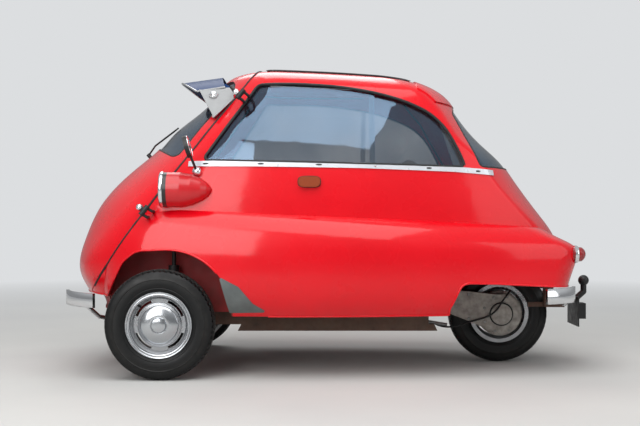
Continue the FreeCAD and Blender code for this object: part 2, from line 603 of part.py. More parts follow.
def rear_bumpers():
    stay = ((-990.0, 440.0, 315.0), (-1002.5, 330.0, 292.0), (-1002.5, 250.2, 292.0))
    blade = bumper_blade(((-1050.0, 330.0), (-1000.0, 440.0), (-890.0, 520.0)), 338.0, 66.0, 14.0, (stay,))
    return both(blade)


def sun_visor():
    """Curved sheet over the windscreen with two cheeks down to the door pillars."""
    back = Part.Arc(Vector(495, -360, 1249), Vector(529, 0, 1325), Vector(495, 360, 1249)).toShape()
    lip = Part.Arc(Vector(620, -360, 1229), Vector(722, 0, 1298), Vector(620, 360, 1229)).toShape()
    top = Part.makeRuledSurface(back, lip)
    shapes = [top.extrude(Vector(0, 0, -4.0))]
    above = top.extrude(Vector(0, 0, 90.0))
    normal = Vector(0.0, 1.0, 0.786).normalize()
    outline_xz = ((612.0, 1240.0), (535.0, 1104.0), (454.0, 1191.0), (462.0, 1240.0), (495.0, 1262.0))
    corners = [Vector(x, 352.0 + (1240.0 - z) * 0.786, z) for x, z in outline_xz]
    cheek = Part.Face(Part.makePolygon(corners + corners[:1])).extrude(normal * 4.0).cut(above)
    knob = Part.makeCylinder(21.0, 9.0, Vector(544.0, 352.0 + 33.0 * 0.786, 1207.0) + normal * 3.0, normal)
    stays = [rod((x, y, z), (x, y - 90.0, z), 6.0) for x, y, z in ((478.0, 366.0, 1224.0), (538.0, 455.0, 1112.0))]
    cheek = cheek.fuse([knob] + stays)
    shapes.append(cheek)
    shapes.append(mirrored(cheek))
    return joined(shapes).cut(skin(CABIN, -SEAT_GAP))


def wiper():
    """Arm on a spindle at the foot of the windscreen."""
    arm = tube(((882.0, 20.0, 964.0), (846.0, 50.0, 1008.0), (726.0, 150.0, 1082.0)), 4.0)
    spindle = rod((856.0, 20.0, 936.0), (886.0, 20.0, 970.0), 9.0)
    return joined([arm, spindle]).cut(OUTER_SEAT)


def door_handle():
    stem = rod((0, 0, 0), (30, 0, 0), 8.0)
    grip = box(26.0, 36.0, -6.0, 6.0, -45.0, 15.0)
    shape = joined([stem, grip])
    turn = FreeCAD.Rotation(Vector(0, 0, 1), -48.0)
    shape.Placement = FreeCAD.Placement(Vector(985.0, -410.0, 700.0), turn)
    return shape.cut(skin(CABIN, -SEAT_GAP))


def hinge_axis():
    a, b = Vector(*HINGE_LOW), Vector(*HINGE_TOP)
    return a, (b - a).normalize()


def hinge_arm(place, spans, reach, radius):
    """Barrels on the hinge line and the arm from them to the skin."""
    a, d = hinge_axis()
    dx, dz = GAP_FOOT[0] - GAP_HEAD[0], GAP_FOOT[1] - GAP_HEAD[1]
    across = Vector(-dz, 0.0, dx).normalize()
    shapes = []
    for low, high in spans:
        shapes.append(Part.makeCylinder(11.0, high - low, place + d * low, d))
        middle = place + d * ((low + high) / 2.0)
        knee = middle + across * reach + Vector(0.0, -14.0, 0.0)
        foot = knee + Vector(0.0, -120.0, 0.0)
        shapes.append(tube((tuple(middle), tuple(knee), tuple(foot)), radius))
    return joined(shapes).cut(OUTER_SEAT).cut(skin(PONTOON, -SEAT_GAP))


def hinge_arms():
    """Door side of the two outside hinges."""
    return Part.makeCompound([hinge_arm(Vector(*p), ((-8.0, 8.0),), r, 6.5) for p, r in ((HINGE_LOW, 34.0), (HINGE_TOP, 50.0))])


def hinge_mounts():
    """Body side of the two outside hinges."""
    return Part.makeCompound([hinge_arm(Vector(*p), ((-24.0, -8.5), (8.5, 24.0)), -26.0, 6.0) for p in (HINGE_LOW, HINGE_TOP)])


def steering_column():
    """Column from the floor to the wheel, with the gauge pod."""
    column = rod((978.0, 250.0, 302.0), (578.0, 250.0, 760.0), 17.0)
    foot = rod((980.0, 250.0, FLOOR_Z + 10.2), (980.0, 250.0, 310.0), 24.0)
    pod = rod((700.0, 250.0, 700.0), (640.0, 250.0, 762.0), 58.0)
    return joined([column, foot, pod])


def steering_wheel():
    axis = Vector(-400.0, 0.0, 458.0).normalize()
    centre = Vector(578.0, 250.0, 760.0) + axis * 24.0
    ring = Part.makeTorus(190.0, 11.0, centre, axis)
    hub = Part.makeCylinder(28.0, 34.0, centre - axis * 23.0, axis)
    side = axis.cross(Vector(0, 1, 0)).normalize()
    spokes = []
    for angle in (90.0, 210.0, 330.0):
        c, s = math.cos(math.radians(angle)), math.sin(math.radians(angle))
        tip = centre + Vector(0, 1, 0) * (190.0 * c) + side * (190.0 * s)
        spokes.append(rod(tuple(centre - axis * 8.0), tuple(tip), 6.0))
    return joined([ring, hub] + spokes)


def controls():
    """Three pedals and the gear lever."""
    parts = []
    for y in (130.0, 190.0, 320.0):
        arm = tube(((900.0, y, FLOOR_Z + 10.2), (900.0, y, 300.0), (940.0, y, 400.0)), 6.0)
        pad = rod((934.0, y, 402.0), (944.0, y, 397.0), 24.0)
        parts.append(joined([arm, pad]))
    foot = (260.0, 20.0, FLOOR_Z + 10.2)
    parts.append(tube((foot, (260.0, 20.0, 320.0), (275.0, 20.0, 430.0), (330.0, 20.0, 480.0)), 9.0))
    return Part.makeCompound(parts)


def engine_lid():
    """Curved lid with two hinge barrels outside its lower edge."""
    zone = hatch_zone(5.0).common(box(-1000.0, 0.0, -800.0, 0.0, 400.0, HATCH[1][1] - 8.0))
    lid = joined([OUTER_CABIN.common(zone), skin(PONTOON).common(zone)])
    lid = lid.cut(skin(CABIN, LID_WALL)).cut(skin(PONTOON, LID_WALL))
    turn = math.radians(LID_TURN)
    along = Vector(math.cos(turn), math.sin(turn), 0.0)
    shapes = [lid]
    for t in (-110.0, 110.0):
        place = Vector(*LID_PIVOT) + along * t
        shapes.append(Part.makeCylinder(5.5, 40.0, place - along * 20.0, along))
        shapes.append(rod(tuple(place), tuple(place + Vector(0.0, 12.0, 18.0)), 4.0))
    return joined(shapes)


def build():
    os.makedirs("parts", exist_ok=True)
    left, right, tail, roof = body_panels()
    nodes = {
        "body_left": left,
        "body_right": right,
        "body_tail": tail,
        "roof_panel": roof,
        "fabric_roof": fabric_roof(),
        "floor_pan": floor_pan(),
        "chassis_frame": chassis_frame(),
        "front_axle": front_axle(),
        "rear_arm": rear_arm(),
        "chain_case": chain_case(),
        "engine": engine(),
        "exhaust": exhaust(),
        "seat_box": seat_box(),
        "seat_base": seat_base(),
        "seat_back": seat_back(),
        "side_windows": side_windows(),
        "rear_window": rear_window(),
        "belt_strips": belt_strips(),
        "stone_guards": stone_guards(),
        "headlamp_pods": headlamp_pods(),
        "headlamp_faces": headlamp_faces(),
        "lamps": lamps(),
        "mirror": mirror(),
        "front_bumpers": front_bumpers(),
        "rear_bumpers": rear_bumpers(),
        "tow_bar": tow_bar(),
        "controls": controls(),
        "door_panel": door_panel(),
        "windscreen": windscreen(),
        "sun_visor": sun_visor(),
        "wiper": wiper(),
        "door_handle": door_handle(),
        "hinge_arms": hinge_arms(),
        "hinge_mounts": hinge_mounts(),
        "steering_column": steering_column(),
        "steering_wheel": steering_wheel(),
        "knuckle_left": knuckle(1.0),
        "knuckle_right": knuckle(-1.0),
        "rim_left": rim(FRONT_AXLE_X, TRACK_HALF, 1.0, True),
        "rim_right": rim(FRONT_AXLE_X, -TRACK_HALF, -1.0, True),
        "rim_rear": rim(REAR_AXLE_X, 0.0, -1.0, False),
        "tyre_left": tyre(FRONT_AXLE_X, TRACK_HALF),
        "tyre_right": tyre(FRONT_AXLE_X, -TRACK_HALF),
        "tyre_rear": tyre(REAR_AXLE_X, 0.0),
        "engine_lid": engine_lid(),
    }
    for name, shape in nodes.items():
        shape.exportStep("parts/%s.step" % name)
    return nodes


NODES = build()
for name, shape in NODES.items():
    b = shape.BoundBox
    print("%-16s %d solids %s valid %s  x %.0f %.0f y %.0f %.0f z %.0f %.0f" % (
        name, len(shape.Solids), len(shape.Faces), shape.isValid(), b.XMin, b.XMax, b.YMin, b.YMax, b.ZMin, b.ZMax))
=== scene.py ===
# %% [markdown]
# # A small bubble car, dressed over its measured frame
# The shapes of this car were worked out first as solids, and they are loaded here as a fixed frame.
# This notebook gives every solid its real finish and adds what the solids leave out: tread, rubber
# seals, chrome rims, louvres, padding and cloth.
# All lengths are in metres, +X is forward, +Y is the car's left side and +Z is up.

# %% Load the frame
import math
import bmesh
import bpy
from mathutils import Matrix, Vector
from mathutils.bvhtree import BVHTree


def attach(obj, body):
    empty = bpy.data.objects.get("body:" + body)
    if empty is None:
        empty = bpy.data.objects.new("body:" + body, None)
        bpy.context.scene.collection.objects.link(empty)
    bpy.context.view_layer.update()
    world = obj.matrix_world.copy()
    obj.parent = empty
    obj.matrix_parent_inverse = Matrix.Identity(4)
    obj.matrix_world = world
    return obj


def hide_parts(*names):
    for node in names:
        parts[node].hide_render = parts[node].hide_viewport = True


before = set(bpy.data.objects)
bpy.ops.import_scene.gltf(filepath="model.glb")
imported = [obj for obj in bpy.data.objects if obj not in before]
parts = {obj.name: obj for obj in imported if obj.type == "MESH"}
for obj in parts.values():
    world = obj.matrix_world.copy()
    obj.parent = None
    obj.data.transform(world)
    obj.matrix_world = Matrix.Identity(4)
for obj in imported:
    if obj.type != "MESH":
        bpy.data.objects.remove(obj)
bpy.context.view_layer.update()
print("solids loaded:", len(parts))

# %% [markdown]
# ## Camera
# The car is seen square from its left side, from a little over five metres and from belt height.
# A long lens and a level camera keep the wheels round and the sills straight.

# %% Camera
camera_data = bpy.data.cameras.new("side_camera")
camera = bpy.data.objects.new("side_camera", camera_data)
bpy.context.scene.collection.objects.link(camera)
CAMERA_PLACE = (0.078, 5.30, 0.690)
PHOTO_WIDTH = 640.0
FOCAL_PIXELS = 1125.0
camera.location = CAMERA_PLACE
camera.rotation_euler = (math.radians(90.0), 0.0, math.radians(180.0))
camera_data.sensor_width = 36.0
camera_data.lens = FOCAL_PIXELS / PHOTO_WIDTH * camera_data.sensor_width
camera_data.shift_y = 1.0 / PHOTO_WIDTH
camera_data.clip_start = 0.05
camera_data.clip_end = 200.0
bpy.context.scene.camera = camera
bpy.context.scene.view_settings.view_transform = "Standard"
print("camera at", CAMERA_PLACE, "lens", round(camera_data.lens, 1), "mm")

# %% [markdown]
# ## Colours and nodes
# Paint colours are written as they look on screen, so one function turns them into linear light.
# A second one adds a shader node with its settings and links and gives back the output that is
# wanted, so that a finish reads from top to bottom like a recipe. Inputs are named, or numbered
# where a node has several of one name: a Map Range has value, from low, from high, low and high.

# %% Colour and node helpers
MM = 1000.0
BLEND = {"data_type": "RGBA"}
BLENDED = 2


def linear(code, darker=1.0):
    """Linear colour from a screen colour such as #E0101A, made darker if asked."""
    values = [int(code[i:i + 2], 16) / 255.0 for i in (1, 3, 5)]
    return [darker * (v / 12.92 if v <= 0.04045 else ((v + 0.055) / 1.055) ** 2.4) for v in values] + [1.0]


def wire(tree, node, inputs):
    """Sets or links a node's inputs."""
    for key, value in inputs.items():
        if isinstance(value, bpy.types.NodeSocket):
            tree.links.new(value, node.inputs[key])
        else:
            node.inputs[key].default_value = value


def add_node(tree, kind, inputs, settings=None, out=0):
    """Adds a node, sets its options, wires its inputs and gives one of its outputs."""
    node = tree.nodes.new(kind)
    for key, value in (settings or {}).items():
        setattr(node, key, value)
    wire(tree, node, inputs)
    return node.outputs[out]


def new_material(name):
    """Empty material with its node tree, its shader and the place on the object."""
    material = bpy.data.materials.new(name)
    material.use_nodes = True
    tree = material.node_tree
    place = add_node(tree, "ShaderNodeTexCoord", {}, out="Object")
    return material, tree, tree.nodes["Principled BSDF"], place


# %% [markdown]
# ## One recipe for paint, plate and mouldings
# Most surfaces of a car are the same kind of thing: one even colour with slight wear. A broad noise
# shifts the colour, a smaller one the shine, and a fine one gives the grain, each at the size that it has in
# millimetres on the real part. A tint lies thickest low down and fades with height: road dust on the
# chassis, the stone guards and the castings, painted shade on the body, its inside and the wheels.

# %% Painted, plated and moulded finishes
def finish(name, colour, shade, patch_mm, rough, grain_mm, grain_depth_mm, metallic=0.0, coat=0.0, dust_and_shade=None):
    """Finish with broad colour patches, fine grain and, if asked, a tint that gathers low down: road dust,
    and on some parts painted shade.
    """
    material, tree, shader, place = new_material(name)
    patch = add_node(tree, "ShaderNodeTexNoise", {"Vector": place, "Scale": MM / patch_mm, "Detail": 3.0})
    share = add_node(tree, "ShaderNodeMapRange", {0: patch, 1: 0.3, 2: 0.7, 3: 0.0, 4: 1.0})
    tone = add_node(tree, "ShaderNodeMix", {0: share, 6: linear(colour), 7: linear(shade)}, BLEND, BLENDED)
    smaller = MM / (patch_mm * 0.31)
    smear = add_node(tree, "ShaderNodeTexNoise", {"Vector": place, "Scale": smaller, "Detail": 3.0})
    shine = add_node(tree, "ShaderNodeMapRange", {0: smear, 1: 0.3, 2: 0.7, 3: rough[0], 4: rough[1]})
    # Low down the colour moves to the given tint: dust on the chassis, guards and castings, painted shade on
    # the body, its inside and the wheels.
    if dust_and_shade:
        tint, top, bottom, most = dust_and_shade
        height = add_node(tree, "ShaderNodeSeparateXYZ", {"Vector": place}, out="Z")
        low = add_node(tree, "ShaderNodeMapRange", {0: height, 1: bottom, 2: top, 3: most, 4: 0.0})
        cloud = add_node(tree, "ShaderNodeTexNoise", {"Vector": place, "Scale": MM / 34.0, "Detail": 6.0})
        drift = add_node(tree, "ShaderNodeMapRange", {0: cloud, 1: 0.3, 2: 0.7, 3: 0.35, 4: 1.0})
        share = add_node(tree, "ShaderNodeMath", {0: low, 1: drift}, {"operation": "MULTIPLY"})
        tone = add_node(tree, "ShaderNodeMix", {0: share, 6: tone, 7: linear(tint)}, BLEND, BLENDED)
        dulled = add_node(tree, "ShaderNodeMath", {0: share, 1: 0.5}, {"operation": "MULTIPLY"})
        capped_sum = {"operation": "ADD", "use_clamp": True}
        shine = add_node(tree, "ShaderNodeMath", {0: shine, 1: dulled}, capped_sum)
    wire(tree, shader, {"Base Color": tone, "Roughness": shine, "Metallic": metallic})
    if grain_depth_mm:
        grain = add_node(tree, "ShaderNodeTexNoise", {"Vector": place, "Scale": MM / grain_mm, "Detail": 2.0})
        depth = grain_depth_mm / MM
        relief = add_node(tree, "ShaderNodeBump", {"Strength": 0.5, "Distance": depth, "Height": grain})
        wire(tree, shader, {"Normal": relief})
    if coat:
        wire(tree, shader, {"Coat Weight": coat, "Coat Roughness": 0.09, "Specular IOR Level": 0.15})
    return material


# %% [markdown]
# ## Paints
# The body is stoved enamel under a clear gloss, the chassis is brushed and has gone brown with road
# dust, and the wheels are sprayed silver. Gloss is the Coat of the shader: a second, sharp mirror
# over a softer one, which is how a polished car looks.

# %% Enamels and chassis paints
# A deep red with a sharp mirror on top; the 420 mm patches are the slow changes of an old respray.
# Below 0.42 m the red darkens in clouds to a brown-red: painted shade where the body turns under.
enamel = finish("stoved_red_enamel", "#E2071A", "#D80416", 420.0, (0.24, 0.32), 5.0, 0.012, coat=0.6,
                dust_and_shade=("#7C2620", 0.42, 0.24, 0.12))
# The same paint inside, thin and unpolished, with no mirror: its darker red is painted shade, and the
# dark brown that gathers towards the floor is settled dust with painted shade.
shaded_inner_enamel = finish("shaded_inner_red_enamel", "#A80F18", "#8C0D14", 160.0, (0.40, 0.60), 4.0, 0.02,
                      dust_and_shade=("#4A3B31", 0.60, 0.22, 0.55))
# Brush paint over steel that has begun to rust: brown, matt and blotched.
frame_paint = finish("dusty_brown_frame_paint", "#5B4034", "#3E2D26", 60.0, (0.60, 0.85), 3.0, 0.08,
                     dust_and_shade=("#77685A", 0.34, 0.15, 0.55))
# Dipped chassis enamel: near black with a dull sheen.
black_enamel = finish("black_chassis_enamel", "#0E0F10", "#18191B", 90.0, (0.35, 0.55), 4.0, 0.03)
# Aluminium flake in the paint makes it half a metal: pale and bright, but never a clear mirror.
# Towards the ground the wheels darken to a grey-brown: painted shade.
wheel_paint = finish("silver_wheel_enamel", "#B4B6B9", "#A4A6A9", 80.0, (0.22, 0.34), 2.5, 0.01, metallic=0.8,
                     dust_and_shade=("#6A6660", 0.20, 0.09, 0.30))
print("red enamel:", enamel.name)

# %% [markdown]
# ## Metals
# Chrome plate is a clear mirror and takes its look from what stands around it. Rolled and spun sheet
# keeps fine scratches that spread the mirror, and a sand casting keeps the grain of its mould.

# %% Plated, polished and cast metals
# Polished before plating, so hardly any grain: the mirror is only clouded here and there.
chrome = finish("chrome_plate", "#E9EAEC", "#DADCDF", 70.0, (0.05, 0.14), 3.0, 0.0, metallic=1.0)
# Rolled trim with a thin dull skin: bright and pale from every side.
polished_sheet = finish("polished_aluminium_sheet", "#DDE0E6", "#D0D3D9", 90.0, (0.26, 0.38), 2.0, 0.01,
                        metallic=0.35)
# Stone chips have dulled this sheet to a flat grey.
guard_sheet = finish("dull_stainless_sheet", "#747A7A", "#656B6B", 55.0, (0.34, 0.48), 2.0, 0.02,
                     metallic=0.75, dust_and_shade=("#5E564E", 0.40, 0.26, 0.25))
# Sand leaves quarter-millimetre grains, and oil and dust stain them in patches.
cast_alloy = finish("sand_cast_aluminium", "#B9B5AE", "#8A8680", 28.0, (0.45, 0.70), 2.2, 0.25, metallic=0.30,
                    dust_and_shade=("#5C5047", 0.34, 0.10, 0.30))
# Zinc on screws and nuts turns a soft grey.
steel = finish("zinc_plated_steel", "#9B9C9A", "#7E7F7D", 15.0, (0.30, 0.45), 1.5, 0.02, metallic=0.9)
# A cap spun on a lathe and brushed with the turn: bright, with a slightly soft mirror.
hub_sheet = finish("brushed_hub_cap_sheet", "#C2C5C8", "#B2B5B9", 140.0, (0.16, 0.22), 1.6, 0.006,
                   metallic=1.0)
# Silver behind flat glass: the clearest mirror on the car.
mirror_glass = finish("silvered_mirror_glass", "#DADFE2", "#D2D8DC", 60.0, (0.02, 0.04), 3.0, 0.0,
                      metallic=1.0)
print("bright finishes:", chrome.name, hub_sheet.name, mirror_glass.name)

# %% [markdown]
# ## Crowned bumper blades
# A bumper blade is pressed with a rounded face and then chromed. The solid is flat, so a relief that
# falls off towards the two long edges turns the mirror up and down there, as the crown does.

# %% Chrome with a crown
BLADE_LOW, CROWN_LOW, CROWN_HIGH, BLADE_HIGH = 0.300, 0.330, 0.332, 0.371


def crowned_chrome():
    """Chrome plate whose face bulges across the blade's height."""
    material, tree, shader, place = new_material("crowned_chrome_plate")
    height = add_node(tree, "ShaderNodeSeparateXYZ", {"Vector": place}, out="Z")
    low = add_node(tree, "ShaderNodeMapRange", {0: height, 1: BLADE_LOW, 2: CROWN_LOW, 3: -1.0, 4: 0.0})
    high = add_node(tree, "ShaderNodeMapRange", {0: height, 1: CROWN_HIGH, 2: BLADE_HIGH, 3: 0.0, 4: 1.0})
    across = add_node(tree, "ShaderNodeMath", {0: low, 1: high}, {"operation": "ADD"})
    square = add_node(tree, "ShaderNodeMath", {0: across, 1: across}, {"operation": "MULTIPLY"})
    crown = add_node(tree, "ShaderNodeMath", {0: 1.0, 1: square}, {"operation": "SUBTRACT"})
    relief = add_node(tree, "ShaderNodeBump", {"Strength": 1.0, "Distance": 14.0 / MM, "Height": crown})
    cloud = add_node(tree, "ShaderNodeTexNoise", {"Vector": place, "Scale": MM / 60.0, "Detail": 3.0})
    shine = add_node(tree, "ShaderNodeMapRange", {0: cloud, 1: 0.3, 2: 0.7, 3: 0.07, 4: 0.16})
    patch = add_node(tree, "ShaderNodeTexNoise", {"Vector": place, "Scale": MM / 80.0, "Detail": 3.0})
    clear, clouded = linear("#E9EAEC"), linear("#DADCDF")
    plate = add_node(tree, "ShaderNodeMix", {0: patch, 6: clear, 7: clouded}, BLEND, BLENDED)
    wire(tree, shader, {"Base Color": plate, "Roughness": shine, "Normal": relief, "Metallic": 1.0})
    return material


# Hard chrome on a rounded pressing: dark and bright bands lie along the blade.
blade_chrome = crowned_chrome()

# %% [markdown]
# ## Rubber and plastics
# Rubber is nearly black but never fully so. Mouldings have the fine grain of their tool and a plain,
# soft shine. The tyre is told apart from them by the dust on its side wall, which is brushed off
# where the wall is widest, so the tyre carries its own radius as an attribute for the dust to read.

# %% Seals and mouldings
# Extruded sponge rubber, matt and dark, greyed a little by sun.
seal_rubber = finish("window_seal_rubber", "#161718", "#202122", 30.0, (0.50, 0.70), 2.0, 0.03)
# Old rubber of the lamp frames has gone brown.
marker_rubber = finish("aged_brown_rubber", "#4A2318", "#3A1C14", 20.0, (0.45, 0.60), 1.5, 0.02)
# Cast resin of the steering wheel, polished by hands to a soft shine.
grip_plastic = finish("ivory_grip_plastic", "#CFC8B2", "#C2BAA2", 50.0, (0.22, 0.32), 3.0, 0.01)
# Moulded plastic with a satin face.
black_plastic = finish("black_moulded_plastic", "#131415", "#1C1D1E", 30.0, (0.35, 0.50), 1.2, 0.03)


# %% Tyre rubber
def tyre_rubber():
    """Rubber with a dusty band on the side wall and a worn tread, read from the tyre's own radius."""
    material, tree, shader, place = new_material("natural_rubber_tyre")
    reach = add_node(tree, "ShaderNodeAttribute", {}, {"attribute_name": "reach"}, "Fac")
    rise = add_node(tree, "ShaderNodeMapRange", {0: reach, 1: 0.168, 2: 0.188, 3: 0.0, 4: 1.0})
    fall = add_node(tree, "ShaderNodeMapRange", {0: reach, 1: 0.200, 2: 0.216, 3: 1.0, 4: 0.0})
    band = add_node(tree, "ShaderNodeMath", {0: rise, 1: fall}, {"operation": "MULTIPLY"})
    cloud = add_node(tree, "ShaderNodeTexNoise", {"Vector": place, "Scale": MM / 26.0, "Detail": 5.0})
    mottled = add_node(tree, "ShaderNodeMapRange", {0: cloud, 1: 0.3, 2: 0.7, 3: 0.03, 4: 0.13})
    wall_dust = add_node(tree, "ShaderNodeMath", {0: band, 1: mottled}, {"operation": "MULTIPLY"})
    tread_dust = add_node(tree, "ShaderNodeMapRange", {0: reach, 1: 0.222, 2: 0.2295, 3: 0.0, 4: 0.20})
    dusty = add_node(tree, "ShaderNodeMath", {0: wall_dust, 1: tread_dust}, {"operation": "MAXIMUM"})
    patch = add_node(tree, "ShaderNodeTexNoise", {"Vector": place, "Scale": MM / 60.0, "Detail": 3.0})
    fresh, faded = linear("#060708"), linear("#0B0C0D")
    black = add_node(tree, "ShaderNodeMix", {0: patch, 6: fresh, 7: faded}, BLEND, BLENDED)
    tone = add_node(tree, "ShaderNodeMix", {0: dusty, 6: black, 7: linear("#55524E")}, BLEND, BLENDED)
    smear = add_node(tree, "ShaderNodeTexNoise", {"Vector": place, "Scale": MM / 40.0, "Detail": 3.0})
    shine = add_node(tree, "ShaderNodeMapRange", {0: smear, 1: 0.3, 2: 0.7, 3: 0.36, 4: 0.55})
    grain = add_node(tree, "ShaderNodeTexNoise", {"Vector": place, "Scale": MM / 1.4, "Detail": 3.0})
    relief = add_node(tree, "ShaderNodeBump", {"Strength": 0.5, "Distance": 0.05 / MM, "Height": grain})
    wire(tree, shader, {"Base Color": tone, "Roughness": shine, "Normal": relief, "Specular IOR Level": 0.30})
    return material


# Moulded tyre rubber: black with a dull, soft highlight and grey dust in a ring.
tyre_finish = tyre_rubber()

# %% [markdown]
# ## Woven cloth
# Seat and roof are plain weaves. Two wave patterns, one across the other, give the relief of warp and
# weft; a wave's scale counts turns, so the thread spacing is divided by a full turn of 6.3. The
# threads are finer than the render can show, so they mostly soften the light.

# %% Plain weaves
FULL_TURN = 6.3


def woven(name, colour, shade, thread_mm, relief_mm, rough):
    """Plain weave: two wave patterns across each other, worn in patches."""
    material, tree, shader, place = new_material(name)
    turns = MM / thread_mm / FULL_TURN
    threads = []
    for direction in ("X", "Y"):
        band = {"wave_type": "BANDS", "bands_direction": direction}
        spacing = {"Vector": place, "Scale": turns, "Distortion": 0.6}
        threads.append(add_node(tree, "ShaderNodeTexWave", spacing, band, "Fac"))
    weave = add_node(tree, "ShaderNodeMath", {0: threads[0], 1: threads[1]}, {"operation": "MULTIPLY"})
    worn = add_node(tree, "ShaderNodeTexNoise", {"Vector": place, "Scale": MM / 90.0, "Detail": 5.0})
    share = add_node(tree, "ShaderNodeMath", {0: weave, 1: worn}, {"operation": "MULTIPLY"})
    tone = add_node(tree, "ShaderNodeMix", {0: share, 6: linear(colour), 7: linear(shade)}, BLEND, BLENDED)
    shine = add_node(tree, "ShaderNodeMapRange", {0: worn, 1: 0.3, 2: 0.7, 3: rough[0], 4: rough[1]})
    relief = add_node(tree, "ShaderNodeBump", {"Strength": 0.6, "Distance": relief_mm / MM, "Height": weave})
    wire(tree, shader, {"Base Color": tone, "Roughness": shine, "Normal": relief, "Sheen Weight": 0.25})
    return material


# Doubled cotton with rubber between: near black, quite matt.
roof_cloth = woven("double_texture_roof_cloth", "#1B1C20", "#3A3B40", 1.6, 0.25, (0.70, 0.90))
# Coarse woven seat cover: warm grey, no shine at all.
seat_cloth = woven("grey_seat_cloth", "#8A8378", "#B3AB9C", 2.2, 0.35, (0.75, 0.95))

# %% [markdown]
# ## Window glass
# A pane mirrors more of its surroundings the flatter the eye meets it. A half-clear mirror whose
# cover grows with the angle shows both the reflections and the cabin behind them.

# %% Window glass
def window_glass(name, tint, low, high):
    """Clear pane: a thin mirror that covers more where it is seen at a flat angle."""
    material, tree, shader, place = new_material(name)
    angle = add_node(tree, "ShaderNodeLayerWeight", {"Blend": 0.35}, out="Facing")
    cloud = add_node(tree, "ShaderNodeTexNoise", {"Vector": place, "Scale": MM / 260.0, "Detail": 3.0})
    haze = add_node(tree, "ShaderNodeMapRange", {0: cloud, 1: 0.3, 2: 0.7, 3: 0.78, 4: 1.18})
    mirror = add_node(tree, "ShaderNodeMapRange", {0: angle, 1: 0.0, 2: 0.9, 3: low, 4: high})
    capped_product = {"operation": "MULTIPLY", "use_clamp": True}
    cover = add_node(tree, "ShaderNodeMath", {0: mirror, 1: haze}, capped_product)
    # The mirror's blue colour is a painted reflection of the sky.
    wire(tree, shader, {"Alpha": cover, "Base Color": linear(tint), "Metallic": 0.9, "Roughness": 0.03})
    return material


# Toughened glass, flat enough for a clear mirror; the blue of its mirror is a painted reflection of the sky.
pane_glass = window_glass("toughened_window_glass", "#5F7387", 0.38, 0.85)

# %% [markdown]
# ## Lenses
# Lamp glass and lenses are pressed with ribs that spread the light. The ribs are a wave pattern that
# both shades and raises the surface, under a clear gloss. Ribs three millimetres apart suit a tail
# lamp, and flutes seven millimetres apart a headlamp.

# %% Ribbed lamp glass and lenses
def ribbed(name, colour, deep, direction, spacing_mm, relief_mm, strength, metallic, rough):
    """Pressed lens: ribs over a bright or a coloured back."""
    material, tree, shader, place = new_material(name)
    spacing = {"Vector": place, "Scale": MM / spacing_mm / FULL_TURN}
    band = {"wave_type": "BANDS", "bands_direction": direction}
    ribs = add_node(tree, "ShaderNodeTexWave", spacing, band, "Fac")
    tone = add_node(tree, "ShaderNodeMix", {0: ribs, 6: linear(colour), 7: linear(deep)}, BLEND, BLENDED)
    depth = relief_mm / MM
    relief = add_node(tree, "ShaderNodeBump", {"Strength": strength, "Distance": depth, "Height": ribs})
    wire(tree, shader, {"Base Color": tone, "Normal": relief, "Metallic": metallic, "Roughness": rough,
                        "Coat Weight": 1.0})
    return material


# Ruby acrylic: a deep red that is lit from the ribs behind its gloss.
red_lens = ribbed("ruby_lens_plastic", "#B3101A", "#6E0710", "Z", 3.0, 0.25, 0.5, 0.0, 0.12)
# Pressed glass before a silvered bowl: bright, broken into upright bands.
lamp_glass = ribbed("fluted_lamp_glass", "#B8C2C6", "#E9EEF0", "Y", 7.0, 0.8, 0.6, 0.6, 0.10)

# %% [markdown]
# ## Finishes that change along one solid
# A headlamp pod is one solid with a black rubber band at its mouth, and the sun visor has pale
# cheeks. A mask from the place on the solid switches the finish there, over less than a millimetre.

# %% Two finishes on one solid
EDGE = 0.0004


def two_tone(name, base, base_rough, other, other_rough, mask_of, metals=(0.0, 0.0), coat=0.0):
    """Two finishes on one solid, switched where the mask's value passes its limit."""
    material, tree, shader, place = new_material(name)
    value, limit = mask_of(tree, place)
    mask = add_node(tree, "ShaderNodeMapRange", {0: value, 1: limit - EDGE, 2: limit + EDGE, 3: 0.0, 4: 1.0})
    fine = add_node(tree, "ShaderNodeTexNoise", {"Vector": place, "Scale": MM / 30.0, "Detail": 3.0})
    base_tones = {0: fine, 6: linear(base), 7: linear(base, 0.93)}
    other_tones = {0: fine, 6: linear(other), 7: linear(other, 0.86)}
    first = add_node(tree, "ShaderNodeMix", base_tones, BLEND, BLENDED)
    second = add_node(tree, "ShaderNodeMix", other_tones, BLEND, BLENDED)
    tone = add_node(tree, "ShaderNodeMix", {0: mask, 6: first, 7: second}, BLEND, BLENDED)
    rough = add_node(tree, "ShaderNodeMapRange", {0: mask, 1: 0.0, 2: 1.0, 3: base_rough, 4: other_rough})
    grain = add_node(tree, "ShaderNodeTexNoise", {"Vector": place, "Scale": MM / 4.0, "Detail": 3.0})
    relief = add_node(tree, "ShaderNodeBump", {"Strength": 0.5, "Distance": 0.012 / MM, "Height": grain})
    wire(tree, shader, {"Base Color": tone, "Roughness": rough, "Normal": relief})
    if metals != (0.0, 0.0):
        metal = add_node(tree, "ShaderNodeMapRange", {0: mask, 1: 0.0, 2: 1.0, 3: metals[0], 4: metals[1]})
        wire(tree, shader, {"Metallic": metal})
    if coat:
        wire(tree, shader, {"Coat Weight": coat, "Coat Roughness": 0.12})
    return material


# %% [markdown]
# ## Masks
# Each mask gives a value and the limit at which the finish changes: the distance along the pod, the
# way back along the car, the distance from the visor's middle, and the radius of the headlamp.

# %% Masks of the pods, lamps, visor and headlamps
POD_BAND_X = 0.7125
RUBY_BEHIND = 0.6
CHEEK_Y = 0.3525
HEADLAMP_Y, HEADLAMP_Z, GLASS_R = 0.612, 0.792, 0.0655


def pod_mask(tree, place):
    """Ahead of the band's edge the pod is rubber."""
    return add_node(tree, "ShaderNodeSeparateXYZ", {"Vector": place}, out="X"), POD_BAND_X


